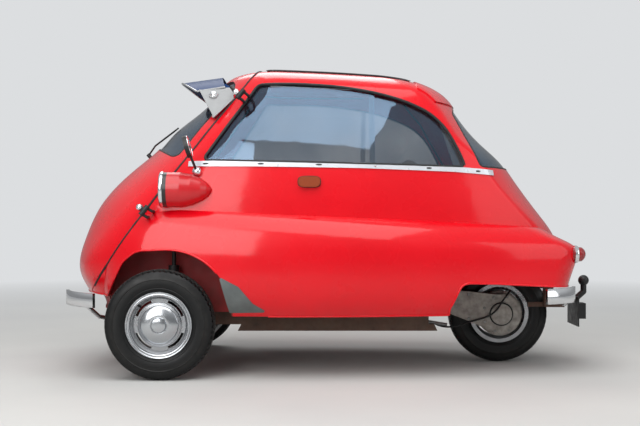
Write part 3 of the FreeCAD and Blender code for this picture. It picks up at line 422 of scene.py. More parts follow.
def tail_mask(tree, place):
    """The lenses behind the rear wheel are ruby, the others amber."""
    ahead = add_node(tree, "ShaderNodeSeparateXYZ", {"Vector": place}, out="X")
    return add_node(tree, "ShaderNodeMath", {0: ahead, 1: -1.0}, {"operation": "MULTIPLY"}), RUBY_BEHIND


def cheek_mask(tree, place):
    """Outside the glass the visor has painted cheeks."""
    across = add_node(tree, "ShaderNodeSeparateXYZ", {"Vector": place}, out="Y")
    return add_node(tree, "ShaderNodeMath", {0: across}, {"operation": "ABSOLUTE"}), CHEEK_Y


def lamp_mask(tree, place):
    """Inside the rim the face is glass."""
    across = add_node(tree, "ShaderNodeSeparateXYZ", {"Vector": place}, out="Y")
    height = add_node(tree, "ShaderNodeSeparateXYZ", {"Vector": place}, out="Z")
    side = add_node(tree, "ShaderNodeMath", {0: across}, {"operation": "ABSOLUTE"})
    out = add_node(tree, "ShaderNodeMath", {0: side, 1: HEADLAMP_Y}, {"operation": "SUBTRACT"})
    rise = add_node(tree, "ShaderNodeMath", {0: height, 1: HEADLAMP_Z}, {"operation": "SUBTRACT"})
    spot = add_node(tree, "ShaderNodeCombineXYZ", {"X": out, "Y": rise})
    return add_node(tree, "ShaderNodeVectorMath", {0: spot}, {"operation": "LENGTH"}, "Value"), GLASS_R


# Amber and ruby acrylic, moulded smooth: deep colour under a soft gloss.
amber_lens = two_tone("amber_and_ruby_lens_plastic", "#8F3A10", 0.20, "#8E0A12", 0.12, tail_mask, coat=0.6)
# The body's enamel on the pod, a little duller, and a matt black rubber band at its mouth. The pod's
# red is darker than the body's: painted shade.
pod_finish = two_tone("pod_enamel_and_rubber", "#C60A18", 0.34, "#141516", 0.45, pod_mask, coat=0.35)
# Blue acrylic sheet that hardly mirrors the sky, between cheeks of grey enamel.
visor_finish = two_tone("tinted_visor_and_grey_cheeks", "#1B3763", 0.30, "#A9ABAC", 0.36, cheek_mask)
wire(visor_finish.node_tree, visor_finish.node_tree.nodes["Principled BSDF"], {"Specular IOR Level": 0.03})
# A pressed glass before a bright bowl, in a chromed rim.
lamp_finish = two_tone("fluted_lamp_glass_and_rim", "#C9D2D6", 0.08, "#E6E7E9", 0.07, lamp_mask,
                       metals=(0.55, 1.0), coat=1.0)
print("materials:", len(bpy.data.materials))

# %% [markdown]
# ## Dressing the solids
# Every solid now gets its finish. A table of names keeps the choice easy to read and change.

# %% Give each solid its finish
FINISHES = {
    enamel: ("body_left", "body_right", "body_tail", "roof_panel", "door_panel", "engine_lid"),
    shaded_inner_enamel: ("floor_pan", "seat_box"),
    frame_paint: ("chassis_frame",),
    black_enamel: ("front_axle", "rear_arm", "exhaust", "tow_bar", "hinge_arms", "hinge_mounts", "wiper",
                   "knuckle_left", "knuckle_right"),
    cast_alloy: ("chain_case", "engine"),
    chrome: ("door_handle",),
    blade_chrome: ("front_bumpers", "rear_bumpers"),
    polished_sheet: ("belt_strips",),
    guard_sheet: ("stone_guards",),
    wheel_paint: ("rim_left", "rim_right", "rim_rear"),
    pane_glass: ("side_windows", "rear_window", "windscreen"),
    pod_finish: ("headlamp_pods",),
    lamp_finish: ("headlamp_faces",),
    visor_finish: ("sun_visor",),
    grip_plastic: ("steering_wheel",),
    black_plastic: ("steering_column", "controls", "mirror"),
    amber_lens: ("lamps",),
    roof_cloth: ("fabric_roof",),
    seat_cloth: ("seat_base", "seat_back"),
    tyre_finish: ("tyre_left", "tyre_right", "tyre_rear"),
}
for material, names in FINISHES.items():
    for name in names:
        parts[name].data.materials.clear()
        parts[name].data.materials.append(material)
print("finishes:", len(FINISHES))

# %% [markdown]
# ## Shop tools
# A few small helpers stand for the usual hand moves: select one thing, go into edit mode, turn a
# profile as on a lathe, and hand a finished piece to the body it rides on.

# %% Selecting and finishing pieces
def only(obj):
    """Select one object alone and make it active."""
    if bpy.context.object and bpy.context.object.mode != "OBJECT":
        bpy.ops.object.mode_set(mode="OBJECT")
    bpy.ops.object.select_all(action="DESELECT")
    obj.select_set(True)
    bpy.context.view_layer.objects.active = obj


def pick_faces(obj, test):
    """Go into edit mode with the faces selected whose centre and normal pass a test."""
    only(obj)
    bpy.context.tool_settings.mesh_select_mode = (False, False, True)
    mesh = obj.data
    mesh.vertices.foreach_set("select", [False] * len(mesh.vertices))
    mesh.edges.foreach_set("select", [False] * len(mesh.edges))
    mesh.polygons.foreach_set("select", [bool(test(p.center, p.normal)) for p in mesh.polygons])
    bpy.ops.object.mode_set(mode="EDIT")


def apply_modifiers(obj):
    """Make the modifiers part of the mesh, in their order."""
    only(obj)
    for modifier in list(obj.modifiers):
        bpy.ops.object.modifier_apply(modifier=modifier.name)


def smooth(obj, angle=35.0):
    """Smooth shading, with edges sharper than the angle kept crisp."""
    only(obj)
    bpy.ops.object.shade_smooth_by_angle(angle=math.radians(angle))


def hand_over(obj, material, body, angle=35.0):
    """Finish, shade and hang a piece on its body."""
    only(obj)
    bpy.ops.object.transform_apply(location=True, rotation=True, scale=True)
    obj.data.materials.clear()
    obj.data.materials.append(material)
    smooth(obj, angle)
    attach(obj, body)
    return obj


# %% [markdown]
# ## Lathe work
# Rims, nuts, lenses and tyres are round, so they are turned. A profile of points along and away from
# the axis is drawn edge by edge with extrude, and spin carries it once around. Where the two ends
# meet, the doubles are merged and the normals are turned outwards again.

# %% Lathe work
def turned(name, profile, centre, axis, steps=64):
    """Turn (along, radius) points about an axis."""
    axis, centre = Vector(axis).normalized(), Vector(centre)
    out = Vector((0.0, 0.0, 1.0)) if abs(axis.z) < 0.9 else Vector((1.0, 0.0, 0.0))
    out = (out - axis * out.dot(axis)).normalized()
    spots = [centre + axis * a + out * r for a, r in profile]
    bpy.ops.mesh.primitive_plane_add(size=0.001, location=(0.0, 0.0, 0.0))
    obj = bpy.context.object
    obj.name = name
    only(obj)
    bpy.context.tool_settings.mesh_select_mode = (True, False, False)
    bpy.ops.object.mode_set(mode="EDIT")
    bpy.ops.mesh.select_all(action="SELECT")
    bpy.ops.mesh.merge(type="CENTER")
    bpy.ops.transform.translate(value=spots[0])
    for a, b in zip(spots, spots[1:]):
        bpy.ops.mesh.extrude_region_move(TRANSFORM_OT_translate={"value": b - a})
    bpy.ops.mesh.select_all(action="SELECT")
    bpy.ops.mesh.spin(steps=steps, angle=math.tau, center=centre, axis=axis)
    bpy.ops.mesh.select_all(action="SELECT")
    bpy.ops.mesh.remove_doubles(threshold=0.00002)
    bpy.ops.mesh.normals_make_consistent(inside=False)
    bpy.ops.object.mode_set(mode="OBJECT")
    return obj


def turned_both(name, profile, centre, axis, material, bodies, steps=64):
    """The same turned piece on the left and on the right."""
    for side, label, body in ((1.0, "left", bodies[0]), (-1.0, "right", bodies[1])):
        place = (centre[0], side * centre[1], centre[2])
        obj = turned(name + "_" + label, profile, place, (axis[0], side * axis[1], axis[2]), steps)
        hand_over(obj, material, body)


# %% [markdown]
# ## Tubes and points on the shell
# Beads, bars and cables are round in section and follow a line, so a curve with a bevel gives them
# and is turned into a mesh. Where such a piece lies on a solid, rays find the solid's surface.

# %% Tubes along a line, and places on a solid
def line_tube(name, points, radius, closed=False, smooth_line=True):
    """Round bar or cable along a smooth line."""
    data = bpy.data.curves.new(name, "CURVE")
    data.dimensions = "3D"
    spline = data.splines.new("NURBS")
    spline.points.add(len(points) - 1)
    for slot, point in zip(spline.points, points):
        slot.co = (*point, 1.0)
    spline.use_cyclic_u = closed
    spline.use_endpoint_u = not closed
    spline.order_u = 3 if smooth_line else 2
    spline.resolution_u = 8
    data.bevel_depth = radius
    data.bevel_resolution = 4
    data.use_fill_caps = True
    obj = bpy.data.objects.new(name, data)
    bpy.context.scene.collection.objects.link(obj)
    only(obj)
    bpy.ops.object.convert(target="MESH")
    return bpy.context.object


def skin_tree(names):
    """Search tree over some solids, to find where a ray meets them."""
    corners, faces = [], []
    for name in names:
        start = len(corners)
        corners += [v.co.copy() for v in parts[name].data.vertices]
        faces += [[start + i for i in p.vertices] for p in parts[name].data.polygons]
    return BVHTree.FromPolygons(corners, faces)


def depth_from(tree, origin, direction):
    """Where a straight look meets the shell, and the surface direction there."""
    hit, normal, index, far = tree.ray_cast(Vector(origin), Vector(direction))
    return hit, normal


shell = skin_tree(("body_left", "body_right", "body_tail", "roof_panel", "door_panel"))


def on_side(x, z, side, tree=None):
    """Point and surface direction where the shell's side is met, looking straight in."""
    return depth_from(tree or shell, (x, side * 1.5, z), (0, -side, 0))


print("waist of the shell at", [round(v, 3) for v in on_side(0.0, 0.60, 1.0)[0]])


# %% [markdown]
# ## Tyres
# The solids leave the tread out. A turned ring gives the ribs and grooves. Every second face of the
# shoulder ribs and every third of the middle ribs is then sunk by an inset, which cuts the cross
# grooves of an old cross-ply road tyre without drawing each of them.

# %% Tyres with tread
AXLE_Z = 0.230
FRONT_X, REAR_X = 0.745, -0.755
HALF_TRACK = 0.600
HALF_WIDTH = 0.063
STEP_DEGREES = 3.0
TURN_STEPS = int(360.0 / STEP_DEGREES)
SHOULDER_RIB, SHOULDER_R = (0.033, 0.0525), 0.2185
MIDDLE_RIB, MIDDLE_R = (0.013, 0.026), 0.2286
NOTCH_DEPTH = 0.0045


def tyre(label, x, y, body):
    """Cross-ply tyre with five ribs and notched shoulders."""
    edge = [(-0.0537, 0.1272), (-0.0537, 0.1383), (-0.0595, 0.146), (-0.0618, 0.1515), (-0.0605, 0.154),
            (-0.0632, 0.162), (-HALF_WIDTH, 0.177), (-0.0625, 0.188), (-0.0640, 0.190), (-0.0625, 0.192),
            (-0.0600, 0.201), (-0.0560, 0.212), (-0.0520, 0.2195), (-0.0470, 0.2240), (-0.0400, 0.2270),
            (-0.0330, 0.2280)]
    tread = [(-0.0310, 0.2230), (-0.0280, 0.2230), (-0.0260, 0.2290), (-0.0130, 0.2297), (-0.0110, 0.2235),
             (-0.0080, 0.2235), (-0.0060, 0.2300)]
    left = edge + tread
    profile = left + [(-a, r) for a, r in reversed(left)]
    centre = Vector((x, y, AXLE_Z))
    obj = turned("treaded_tyre_" + label, profile, centre, (0.0, 1.0, 0.0), steps=TURN_STEPS)

    def notch(place, direction):
        """Every second face of the shoulder ribs and every third of the middle ribs."""
        offset = place - centre
        reach = math.hypot(offset.x, offset.z)
        turn = math.degrees(math.atan2(offset.z, offset.x)) % 360.0
        step = int(round(turn / STEP_DEGREES - 0.5))
        shoulder = SHOULDER_RIB[0] < abs(offset.y) < SHOULDER_RIB[1] and reach > SHOULDER_R
        rib = MIDDLE_RIB[0] < abs(offset.y) < MIDDLE_RIB[1] and reach > MIDDLE_R
        return (shoulder and step % 2 == 0) or (rib and step % 3 == 1)

    pick_faces(obj, notch)
    bpy.ops.mesh.inset(thickness=0.0008, depth=-NOTCH_DEPTH, use_even_offset=True)
    bpy.ops.object.mode_set(mode="OBJECT")
    reach = obj.data.attributes.new("reach", "FLOAT", "POINT")
    reach.data.foreach_set("value", [math.hypot(v.co.x - x, v.co.z - AXLE_Z) for v in obj.data.vertices])
    hand_over(obj, tyre_finish, body, 38.0)
    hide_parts("tyre_" + label)
    print(obj.name, len(obj.data.polygons), "faces")


tyre("left", FRONT_X, HALF_TRACK, "wheel_left")
tyre("right", FRONT_X, -HALF_TRACK, "wheel_right")
tyre("rear", REAR_X, 0.0, "wheel_rear")

# %% [markdown]
# ## Edges of the solids
# Seals and rolled lips follow the cut edges of the shell. Those edges are found by their sharp
# angle: one of their two faces looks outwards, and the other is the cut. A test on the edge's
# middle and on the cut's direction then picks the edges that a bead is meant for.

# %% Find sharp outer edges
def sharp_edges(name, test, angle=40.0):
    """Edges between an outer face and a cut face, as pairs of points."""
    bm = bmesh.new()
    bm.from_mesh(parts[name].data)
    bmesh.ops.remove_doubles(bm, verts=bm.verts, dist=0.0002)
    bm.normal_update()
    kept = []
    for edge in bm.edges:
        if len(edge.link_faces) != 2 or edge.calc_face_angle(0.0) < math.radians(angle):
            continue
        middle = (edge.verts[0].co + edge.verts[1].co) / 2.0
        outward = (middle - Vector((middle.x * 0.6, 0.0, 0.72))).normalized()
        a, b = sorted((f.normal.copy() for f in edge.link_faces), key=outward.dot)
        if outward.dot(b) > 0.4 and test(middle, a):
            kept.append((edge.verts[0].co.copy(), edge.verts[1].co.copy()))
    bm.free()
    return kept


# %% [markdown]
# ## Beads along the edges
# The edges come in no order and with points at random distances, which would make a tube lumpy. So
# they are joined end to end into lines, points are set along each line at an even distance, and a
# round bead is drawn over them as a smooth curve.

# %% Put edges in order and run a bead along them
def chains(edges, least=0.06, step=0.012):
    """Join edge pairs into lines and space their points evenly."""
    def key(p):
        """Points closer than a tenth of a millimetre count as one."""
        return (round(p.x, 4), round(p.y, 4), round(p.z, 4))

    links, spots = {}, {}
    for a, b in edges:
        ka, kb = key(a), key(b)
        if ka == kb:
            continue
        spots[ka], spots[kb] = a, b
        links.setdefault(ka, []).append(kb)
        links.setdefault(kb, []).append(ka)
    used, lines = set(), []
    starts = sorted(links, key=lambda k: (len(links[k]) == 2, k))
    for start in starts:
        if start in used:
            continue
        line, here = [start], start
        used.add(start)
        while True:
            ahead = [k for k in links[here] if k not in used]
            if not ahead:
                break
            here = ahead[0]
            used.add(here)
            line.append(here)
        closed = len(line) > 3 and line[0] in links[line[-1]]
        points = [spots[k] for k in line] + ([spots[line[0]]] if closed else [])
        if sum((b - a).length for a, b in zip(points, points[1:])) >= least:
            lines.append((even(points, step), closed))
    return lines


def even(points, step):
    """The same line with points a fixed distance apart."""
    out, left = [points[0].copy()], step
    for a, b in zip(points, points[1:]):
        length, at = (b - a).length, 0.0
        while length - at > left:
            at += left
            out.append(a.lerp(b, at / length))
            left = step
        left -= length - at
    if (out[-1] - points[-1]).length > step * 0.4:
        out.append(points[-1].copy())
    return out


def bead(name, node, test, radius, material, body, step=0.012, angle=40.0):
    """Round bead along all the sharp outer edges of a solid that pass a test."""
    made = []
    for points, closed in chains(sharp_edges(node, test, angle), step=step):
        line = points[:-1] if closed and (points[0] - points[-1]).length < step * 0.8 else points
        if len(line) > 3:
            made.append(line_tube(name, [tuple(p) for p in line], radius, closed))
    if not made:
        print(name, "found no edge")
        return None
    only(made[0])
    for piece in made:
        piece.select_set(True)
    if len(made) > 1:
        bpy.ops.object.join()
    obj = bpy.context.object
    obj.name = name
    print(name, len(made), "lines")
    return hand_over(obj, material, body, 60.0)


# %% [markdown]
# ## Rubber window seals
# Each pane sits in a black rubber profile. From outside it shows as a round bead about twelve
# millimetres wide, pressed against the paint.

# %% Seals around the panes
GAP_AHEAD = Vector((0.802, 0.0, 0.598))
SILL_Z = 0.882
WINDOW_MIDDLE = Vector((0.03, 0.0, 1.05))
PANE_SEAL, SIDE_SEAL = 0.0065, 0.0060


def pane_edge(middle, cut):
    """A loose pane is sealed all around."""
    return True


def window_edge(middle, cut):
    """The side window's opening in the body: its cut faces look at the middle of the window."""
    inward = WINDOW_MIDDLE - Vector((middle.x, 0.0, middle.z))
    at_window = middle.z > SILL_Z and -0.57 < middle.x < 0.60 and abs(middle.y) > 0.33
    at_door = cut.dot(GAP_AHEAD) > 0.9
    return at_window and cut.dot(inward) > 0.0 and not at_door


bead("windscreen_seal", "windscreen", pane_edge, PANE_SEAL, seal_rubber, "door")
bead("rear_window_seal", "rear_window", pane_edge, PANE_SEAL, seal_rubber, "car")
for side in ("left", "right"):
    name = "side_window_seal_" + side
    bead(name, "body_" + side, window_edge, SIDE_SEAL, seal_rubber, "car")

# %% [markdown]
# ## Door seal
# The nose of the car is its door, and a rubber profile runs around the opening that it shuts. From
# outside it shows as one dark line up the front. Rays shot at the body from the opening's middle
# find the points of that line, and a thin tube follows them. Lower down, beside the fender, the dark
# tube is painted shade: it stands for the shadowed gap between fender and door.

# %% Seal around the door opening
door_frame = skin_tree(("body_left", "body_right", "roof_panel"))
GAP_UP = Vector((-0.598, 0.0, 0.802))
BEHIND_GAP = 0.0035
FENDER_TOP = 0.630
DOOR_SEAL, GAP_SHADE_R = 0.0048, 0.0040
opening_middle = Vector((0.7078, 0.0, 0.850)) - GAP_AHEAD * BEHIND_GAP


def frame_point(degrees):
    """Point on the body's skin just behind the door gap, seen from the opening's middle."""
    out = Vector((0.0, math.cos(math.radians(degrees)), 0.0)) + GAP_UP * math.sin(math.radians(degrees))
    hit, normal, index, far = door_frame.ray_cast(opening_middle + out * 1.4, -out)
    return hit


frame_line = [frame_point(degrees) for degrees in range(-60, 241, 2)]
frame_line = [p for p in frame_line if p is not None and (p - opening_middle).length > 0.30 and p.z > 0.375]
arch = [tuple(p) for p in frame_line if p.z > FENDER_TOP]
hand_over(line_tube("door_seal", arch, DOOR_SEAL), seal_rubber, "car", 60.0)
# Below the fender's top the dark tube is painted shade for the gap beside the fender.
for side, label in ((1.0, "left"), (-1.0, "right")):
    low = [tuple(p) for p in frame_line if p.z < FENDER_TOP + 0.010 and p.y * side > 0.0]
    hand_over(line_tube("fender_gap_shade_" + label, low, GAP_SHADE_R), seal_rubber, "car", 60.0)
print("door frame points:", len(frame_line), len(arch))

# %% [markdown]
# ## Rolled lips
# The lower edges and the wheel arches of a pressed body are rolled over a wire, which stiffens them
# and gives the bright line that shows in the photograph. A thin bead in the body colour does it.

# %% Rolled lips of the body
LIP_R = 0.0042
TAIL_WELD_X = -0.572


def lower_edge(middle, cut):
    """Lower edges and arches, but not the tail's weld, the stone guards' edge or the lid's opening."""
    weld = abs(middle.x - TAIL_WELD_X) < 0.004 and abs(cut.x) > 0.8
    guarded = 0.28 < middle.x < 0.52 and middle.z < 0.445 and abs(middle.y) > 0.45
    hatch = -0.66 < middle.x < -0.20 and middle.y < 0.0 and middle.z > 0.405
    return middle.z < 0.60 and cut.z < 0.35 and abs(middle.y) > 0.30 and not (weld or guarded or hatch)


for name in ("body_left", "body_right", "body_tail"):
    bead("rolled_lip_" + name, name, lower_edge, LIP_R, enamel, "car")


def door_edge(middle, cut):
    """The door's lower edge, whose cut faces look down."""
    return middle.z < 0.42 and cut.z < -0.3


bead("rolled_lip_door", "door_panel", door_edge, LIP_R, enamel, "door")

# %% [markdown]
# ## Headlamps
# A headlamp is a fluted glass dome held by a chrome bezel. Both are round about the lamp's axis, so
# they are turned, with points as (along the axis, radius), and the same pair is made on both sides.

# %% Headlamps
BEZEL = [(-0.0015, 0.0724), (-0.0015, 0.0748), (0.0030, 0.0758), (0.0080, 0.0756), (0.0118, 0.0738),
         (0.0136, 0.0708), (0.0134, 0.0680), (0.0118, 0.0664), (0.0090, 0.0664), (-0.0015, 0.0724)]
DOME = [(0.0085, 0.0), (0.0085, 0.0672), (0.0122, 0.0650), (0.0148, 0.0560), (0.0166, 0.0440),
        (0.0178, 0.0300), (0.0184, 0.0150), (0.0186, 0.0)]
LAMP_MOUTH = (0.7302, HEADLAMP_Y, HEADLAMP_Z)
FINE_STEPS = 96
ON_CAR = ("car", "car")
turned_both("headlamp_bezel", BEZEL, LAMP_MOUTH, (1, 0, 0), chrome, ON_CAR, FINE_STEPS)
turned_both("headlamp_glass", DOME, LAMP_MOUTH, (1, 0, 0), lamp_glass, ON_CAR, FINE_STEPS)
print("headlamp glass stands out", round(DOME[-1][0] - BEZEL[0][0], 4))

# %% [markdown]
# ## Tail lamps and marker lamps
# The tail lamps are ruby domes in a chrome ring, set on the tail where a ray meets it. The marker
# lamps are amber blocks in a thin frame of rubber, whose rounded outline is a superellipse laid on
# the shell point by point.

# %% Tail lamps and marker frames
TAIL_LAMP_Y, TAIL_LAMP_Z = 0.410, 0.515
tail = depth_from(shell, (-2.0, TAIL_LAMP_Y, TAIL_LAMP_Z), (1, 0, 0))[0]
print("tail surface behind the lamp:", round(tail.x, 4))
lamp_foot = (tail.x + 0.004, TAIL_LAMP_Y, TAIL_LAMP_Z)
TAIL_RING = [(-0.006, 0.030), (-0.006, 0.0380), (0.003, 0.0380), (0.007, 0.0368), (0.010, 0.0345),
             (0.010, 0.0312), (0.006, 0.0302), (-0.006, 0.030)]
TAIL_DOME = [(0.002, 0.0), (0.002, 0.0312), (0.018, 0.0312), (0.028, 0.0290), (0.036, 0.0220),
             (0.040, 0.0110), (0.041, 0.0)]
turned_both("tail_lamp_ring", TAIL_RING, lamp_foot, (-1, 0, 0), chrome, ON_CAR)
turned_both("tail_lamp_lens", TAIL_DOME, lamp_foot, (-1, 0, 0), red_lens, ON_CAR)
MARKER_X, MARKER_Z = 0.123, 0.825
MARKER_HALF_LENGTH, MARKER_HALF_HEIGHT = 0.0475, 0.0235
MARKER_POINTS, FRAME_R = 24, 0.0018
for side, label in ((1.0, "left"), (-1.0, "right")):
    loop = []
    for k in range(MARKER_POINTS):
        a = math.tau * k / MARKER_POINTS
        x = MARKER_X + MARKER_HALF_LENGTH * math.copysign(abs(math.cos(a)) ** 0.6, math.cos(a))
        z = MARKER_Z + MARKER_HALF_HEIGHT * math.copysign(abs(math.sin(a)) ** 0.6, math.sin(a))
        spot, _ = on_side(x, z, side)
        loop.append(tuple(spot + Vector((0.0, side * 0.001, 0.0))))
    marker_frame = line_tube("marker_frame_" + label, loop, FRAME_R, True)
    hand_over(marker_frame, marker_rubber, "car", 60.0)

# %% [markdown]
# ## Hinge nuts
# Two outside hinges carry the door, each held by a domed chrome nut on its arm. The nut is turned
# and placed where a ray from the side meets the arm, so that it follows the arm if that moves.

# %% Hinge nuts on the door
NUT = [(-0.003, 0.0), (-0.003, 0.0135), (0.0040, 0.0135), (0.0052, 0.0128), (0.0085, 0.0126),
       (0.0120, 0.0112), (0.0150, 0.0082), (0.0168, 0.0042), (0.0172, 0.0)]
arm_tree = skin_tree(("hinge_arms",))
for label, x, z in (("low", 0.825, 0.717), ("high", 0.434, 1.208)):
    spot, direction = on_side(x, z, 1.0, arm_tree)
    if spot is None:
        spot, direction = on_side(x, z, 1.0)
    nut = turned("hinge_nut_" + label, NUT, spot, direction, 32)
    hand_over(nut, chrome, "door")
    print("hinge nut", label, [round(v, 3) for v in spot])

# %% [markdown]
# ## Waist strip
# The bright strip under the windows is held by screws in long slots. Most slots show only as dark
# ovals, and one screw head shows bright. The dark ovals are painted shade: round black plugs, drawn out
# along the car, stand for the shadow inside the slots.

# %% Slots and screws of the waist strip
STRIP = ((0.633, 0.902), (0.370, 0.901), (-0.090, 0.895), (-0.498, 0.882), (-0.676, 0.869))
strip_tree = skin_tree(("belt_strips",))


def strip_height(x):
    """Middle height of the strip at a place along the car."""
    for (xa, za), (xb, zb) in zip(STRIP, STRIP[1:]):
        if xb <= x <= xa:
            return za + (zb - za) * (xa - x) / (xa - xb)
    return STRIP[-1][1]


SLOT = [(-0.002, 0.0), (-0.002, 0.0050), (0.0008, 0.0050), (0.0012, 0.0042), (0.0012, 0.0)]
SCREW = [(-0.002, 0.0), (-0.002, 0.0050), (0.0016, 0.0050), (0.0034, 0.0036), (0.0042, 0.0)]
SLOT_PLACES = (0.556, 0.326, 0.083, -0.155, -0.384, -0.600)
SCREW_PLACE = 3
for side, label in ((1.0, "left"), (-1.0, "right")):
    for k, x in enumerate(SLOT_PLACES):
        spot, direction = on_side(x, strip_height(x), side, strip_tree)
        if k == SCREW_PLACE:
            screw = turned("strip_screw_" + label, SCREW, spot, direction, 24)
            hand_over(screw, chrome, "car")
            continue
        # Each dark oval is painted shade: a black plug where the slot's recess lies in shadow.
        slot_shade_piece = turned("strip_slot_shade_%s_%d" % (label, k + 1), SLOT, spot, direction, 24)
        only(slot_shade_piece)
        bpy.ops.object.mode_set(mode="EDIT")
        bpy.ops.mesh.select_all(action="SELECT")
        bpy.ops.transform.resize(value=(2.7, 1.0, 0.75), center_override=spot)
        bpy.ops.object.mode_set(mode="OBJECT")
        hand_over(slot_shade_piece, black_plastic, "car")
print("strip fittings:", 2 * len(SLOT_PLACES))

# %% [markdown]
# ## Mirror
# The round mirror stands on a bent stalk with a chrome ball foot on the left shoulder. Rim, glass
# and foot are turned about their own axes, and the stalk is a bar along three points.

# %% Mirror rim, glass, stalk and foot
mirror_centre, mirror_face = Vector((0.626, 0.655, 0.967)), Vector((-0.96, 0.0, 0.28)).normalized()
FOOT_R = 0.0205
RIM = [(0.0080, 0.0430), (0.0080, 0.0462), (0.0098, 0.0467), (0.0118, 0.0458), (0.0122, 0.0440),
       (0.0110, 0.0420), (0.0095, 0.0420), (0.0080, 0.0430)]
PANE = [(0.0080, 0.0), (0.0080, 0.0432), (0.0100, 0.0432), (0.0102, 0.0)]
FOOT = [(FOOT_R * math.cos(math.radians(a)), FOOT_R * math.sin(math.radians(a))) for a in range(0, 181, 12)]
hand_over(turned("mirror_rim", RIM, mirror_centre, mirror_face, 64), chrome, "car")
hand_over(turned("mirror_glass", PANE, mirror_centre, mirror_face, 64), mirror_glass, "car")
hand_over(turned("mirror_foot", FOOT, (0.593, 0.594, 0.867), (0, 0, 1), 40), chrome, "car")
STALK = [(0.593, 0.598, 0.867), (0.604, 0.640, 0.905), (0.626, 0.655, 0.958)]
stalk = line_tube("mirror_stalk", STALK, 0.0054, smooth_line=False)
hand_over(stalk, black_plastic, "car")
print("mirror at", [round(v, 3) for v in mirror_centre])

# %% [markdown]
# ## Sun visor trim
# The outside visor is a thin shell. Its free lip carries a bright rolled bead, and a knurled knob
# clamps each cheek.

# %% Lip and knobs of the visor
LIP_MIDDLE, LIP_HALF_WIDTH, LIP_SWEEP, LIP_DROP = (0.722, 1.298), 0.360, 0.102, 0.069
lip = []
for k in range(25):
    t = -1.0 + 2.0 * k / 24
    lip.append((LIP_MIDDLE[0] - LIP_SWEEP * t * t, LIP_HALF_WIDTH * t, LIP_MIDDLE[1] - LIP_DROP * t * t))
hand_over(line_tube("visor_lip", lip, 0.0040), chrome, "door", 60.0)
KNOB = [(-0.004, 0.0), (-0.004, 0.0200), (0.004, 0.0215), (0.010, 0.0210), (0.013, 0.0185), (0.0135, 0.0120),
        (0.0165, 0.0105), (0.0195, 0.0060), (0.0200, 0.0)]
turned_both("visor_knob", KNOB, (0.544, 0.378, 1.207), (0, 1, -0.62), chrome, ("door", "door"), 48)

# %% [markdown]
# ## Wheels
# A plain steel wheel has a rolled rim, four slots and a pressed hub cap of polished sheet. The cap
# is spun from one disc: skirt, step, dome and a raised middle.

# %% Hub caps and valves
CAP = [(0.0190, 0.0), (0.0190, 0.0868), (0.0215, 0.0905), (0.0258, 0.0912), (0.0300, 0.0900),
       (0.0318, 0.0862), (0.0322, 0.0835), (0.0350, 0.0815), (0.0392, 0.0760), (0.0432, 0.0670),
       (0.0470, 0.0545), (0.0494, 0.0430), (0.0500, 0.0365), (0.0494, 0.0338), (0.0510, 0.0322),
       (0.0575, 0.0315), (0.0612, 0.0285), (0.0630, 0.0200), (0.0636, 0.0100), (0.0637, 0.0)]
TRIM_RING = [(0.0575, 0.1372), (0.0596, 0.1388), (0.0612, 0.1376), (0.0614, 0.1350), (0.0600, 0.1326),
             (0.0588, 0.1312), (0.0600, 0.1298), (0.0608, 0.1270), (0.0600, 0.1238), (0.0584, 0.1216),
             (0.0520, 0.1203), (0.0440, 0.1196), (0.0436, 0.1216), (0.0574, 0.1232), (0.0575, 0.1372)]
FRONT_WHEELS = ("wheel_left", "wheel_right")
hub = (FRONT_X, HALF_TRACK, AXLE_Z)
turned_both("hub_cap", CAP, hub, (0, 1, 0), hub_sheet, FRONT_WHEELS, FINE_STEPS)
turned_both("wheel_trim_ring", TRIM_RING, hub, (0, 1, 0), hub_sheet, FRONT_WHEELS,
            FINE_STEPS)
for side, label in ((1.0, "left"), (-1.0, "right")):
    foot = Vector((FRONT_X + 0.080, side * (HALF_TRACK + 0.022), AXLE_Z + 0.074))
    valve = line_tube("valve_" + label, [foot, foot + Vector((0.006, side * 0.014, 0.006)),
                                         foot + Vector((0.010, side * 0.030, 0.010))], 0.0042)
    hand_over(valve, black_plastic, "wheel_" + label, 60.0)

# %% [markdown]
# ## Nuts of the rear wheel
# The rear wheel has no cap. Four nuts on a small circle hold it, and they show from the right.

# %% Nuts of the rear wheel
NUT_CIRCLE = 0.045
HUB_NUT = [(-0.002, 0.0), (-0.002, 0.0100), (0.010, 0.0100), (0.012, 0.0085), (0.012, 0.0)]
for k in range(4):
    a = math.radians(45.0 + 90.0 * k)
    place = (REAR_X + NUT_CIRCLE * math.cos(a), -0.0085, AXLE_Z + NUT_CIRCLE * math.sin(a))
    nut = turned("rear_wheel_nut_%d" % (k + 1), HUB_NUT, place, (0, -1, 0), 6)
    hand_over(nut, steel, "wheel_rear", 20.0)
print("nuts stand at", round(place[1], 4))

# %% [markdown]
# ## Chain case
# The rear wheel is driven by a chain inside a cast case, which stands in front of the wheel as seen
# here. Screws hold its cover, and a brake cable is clipped across it.

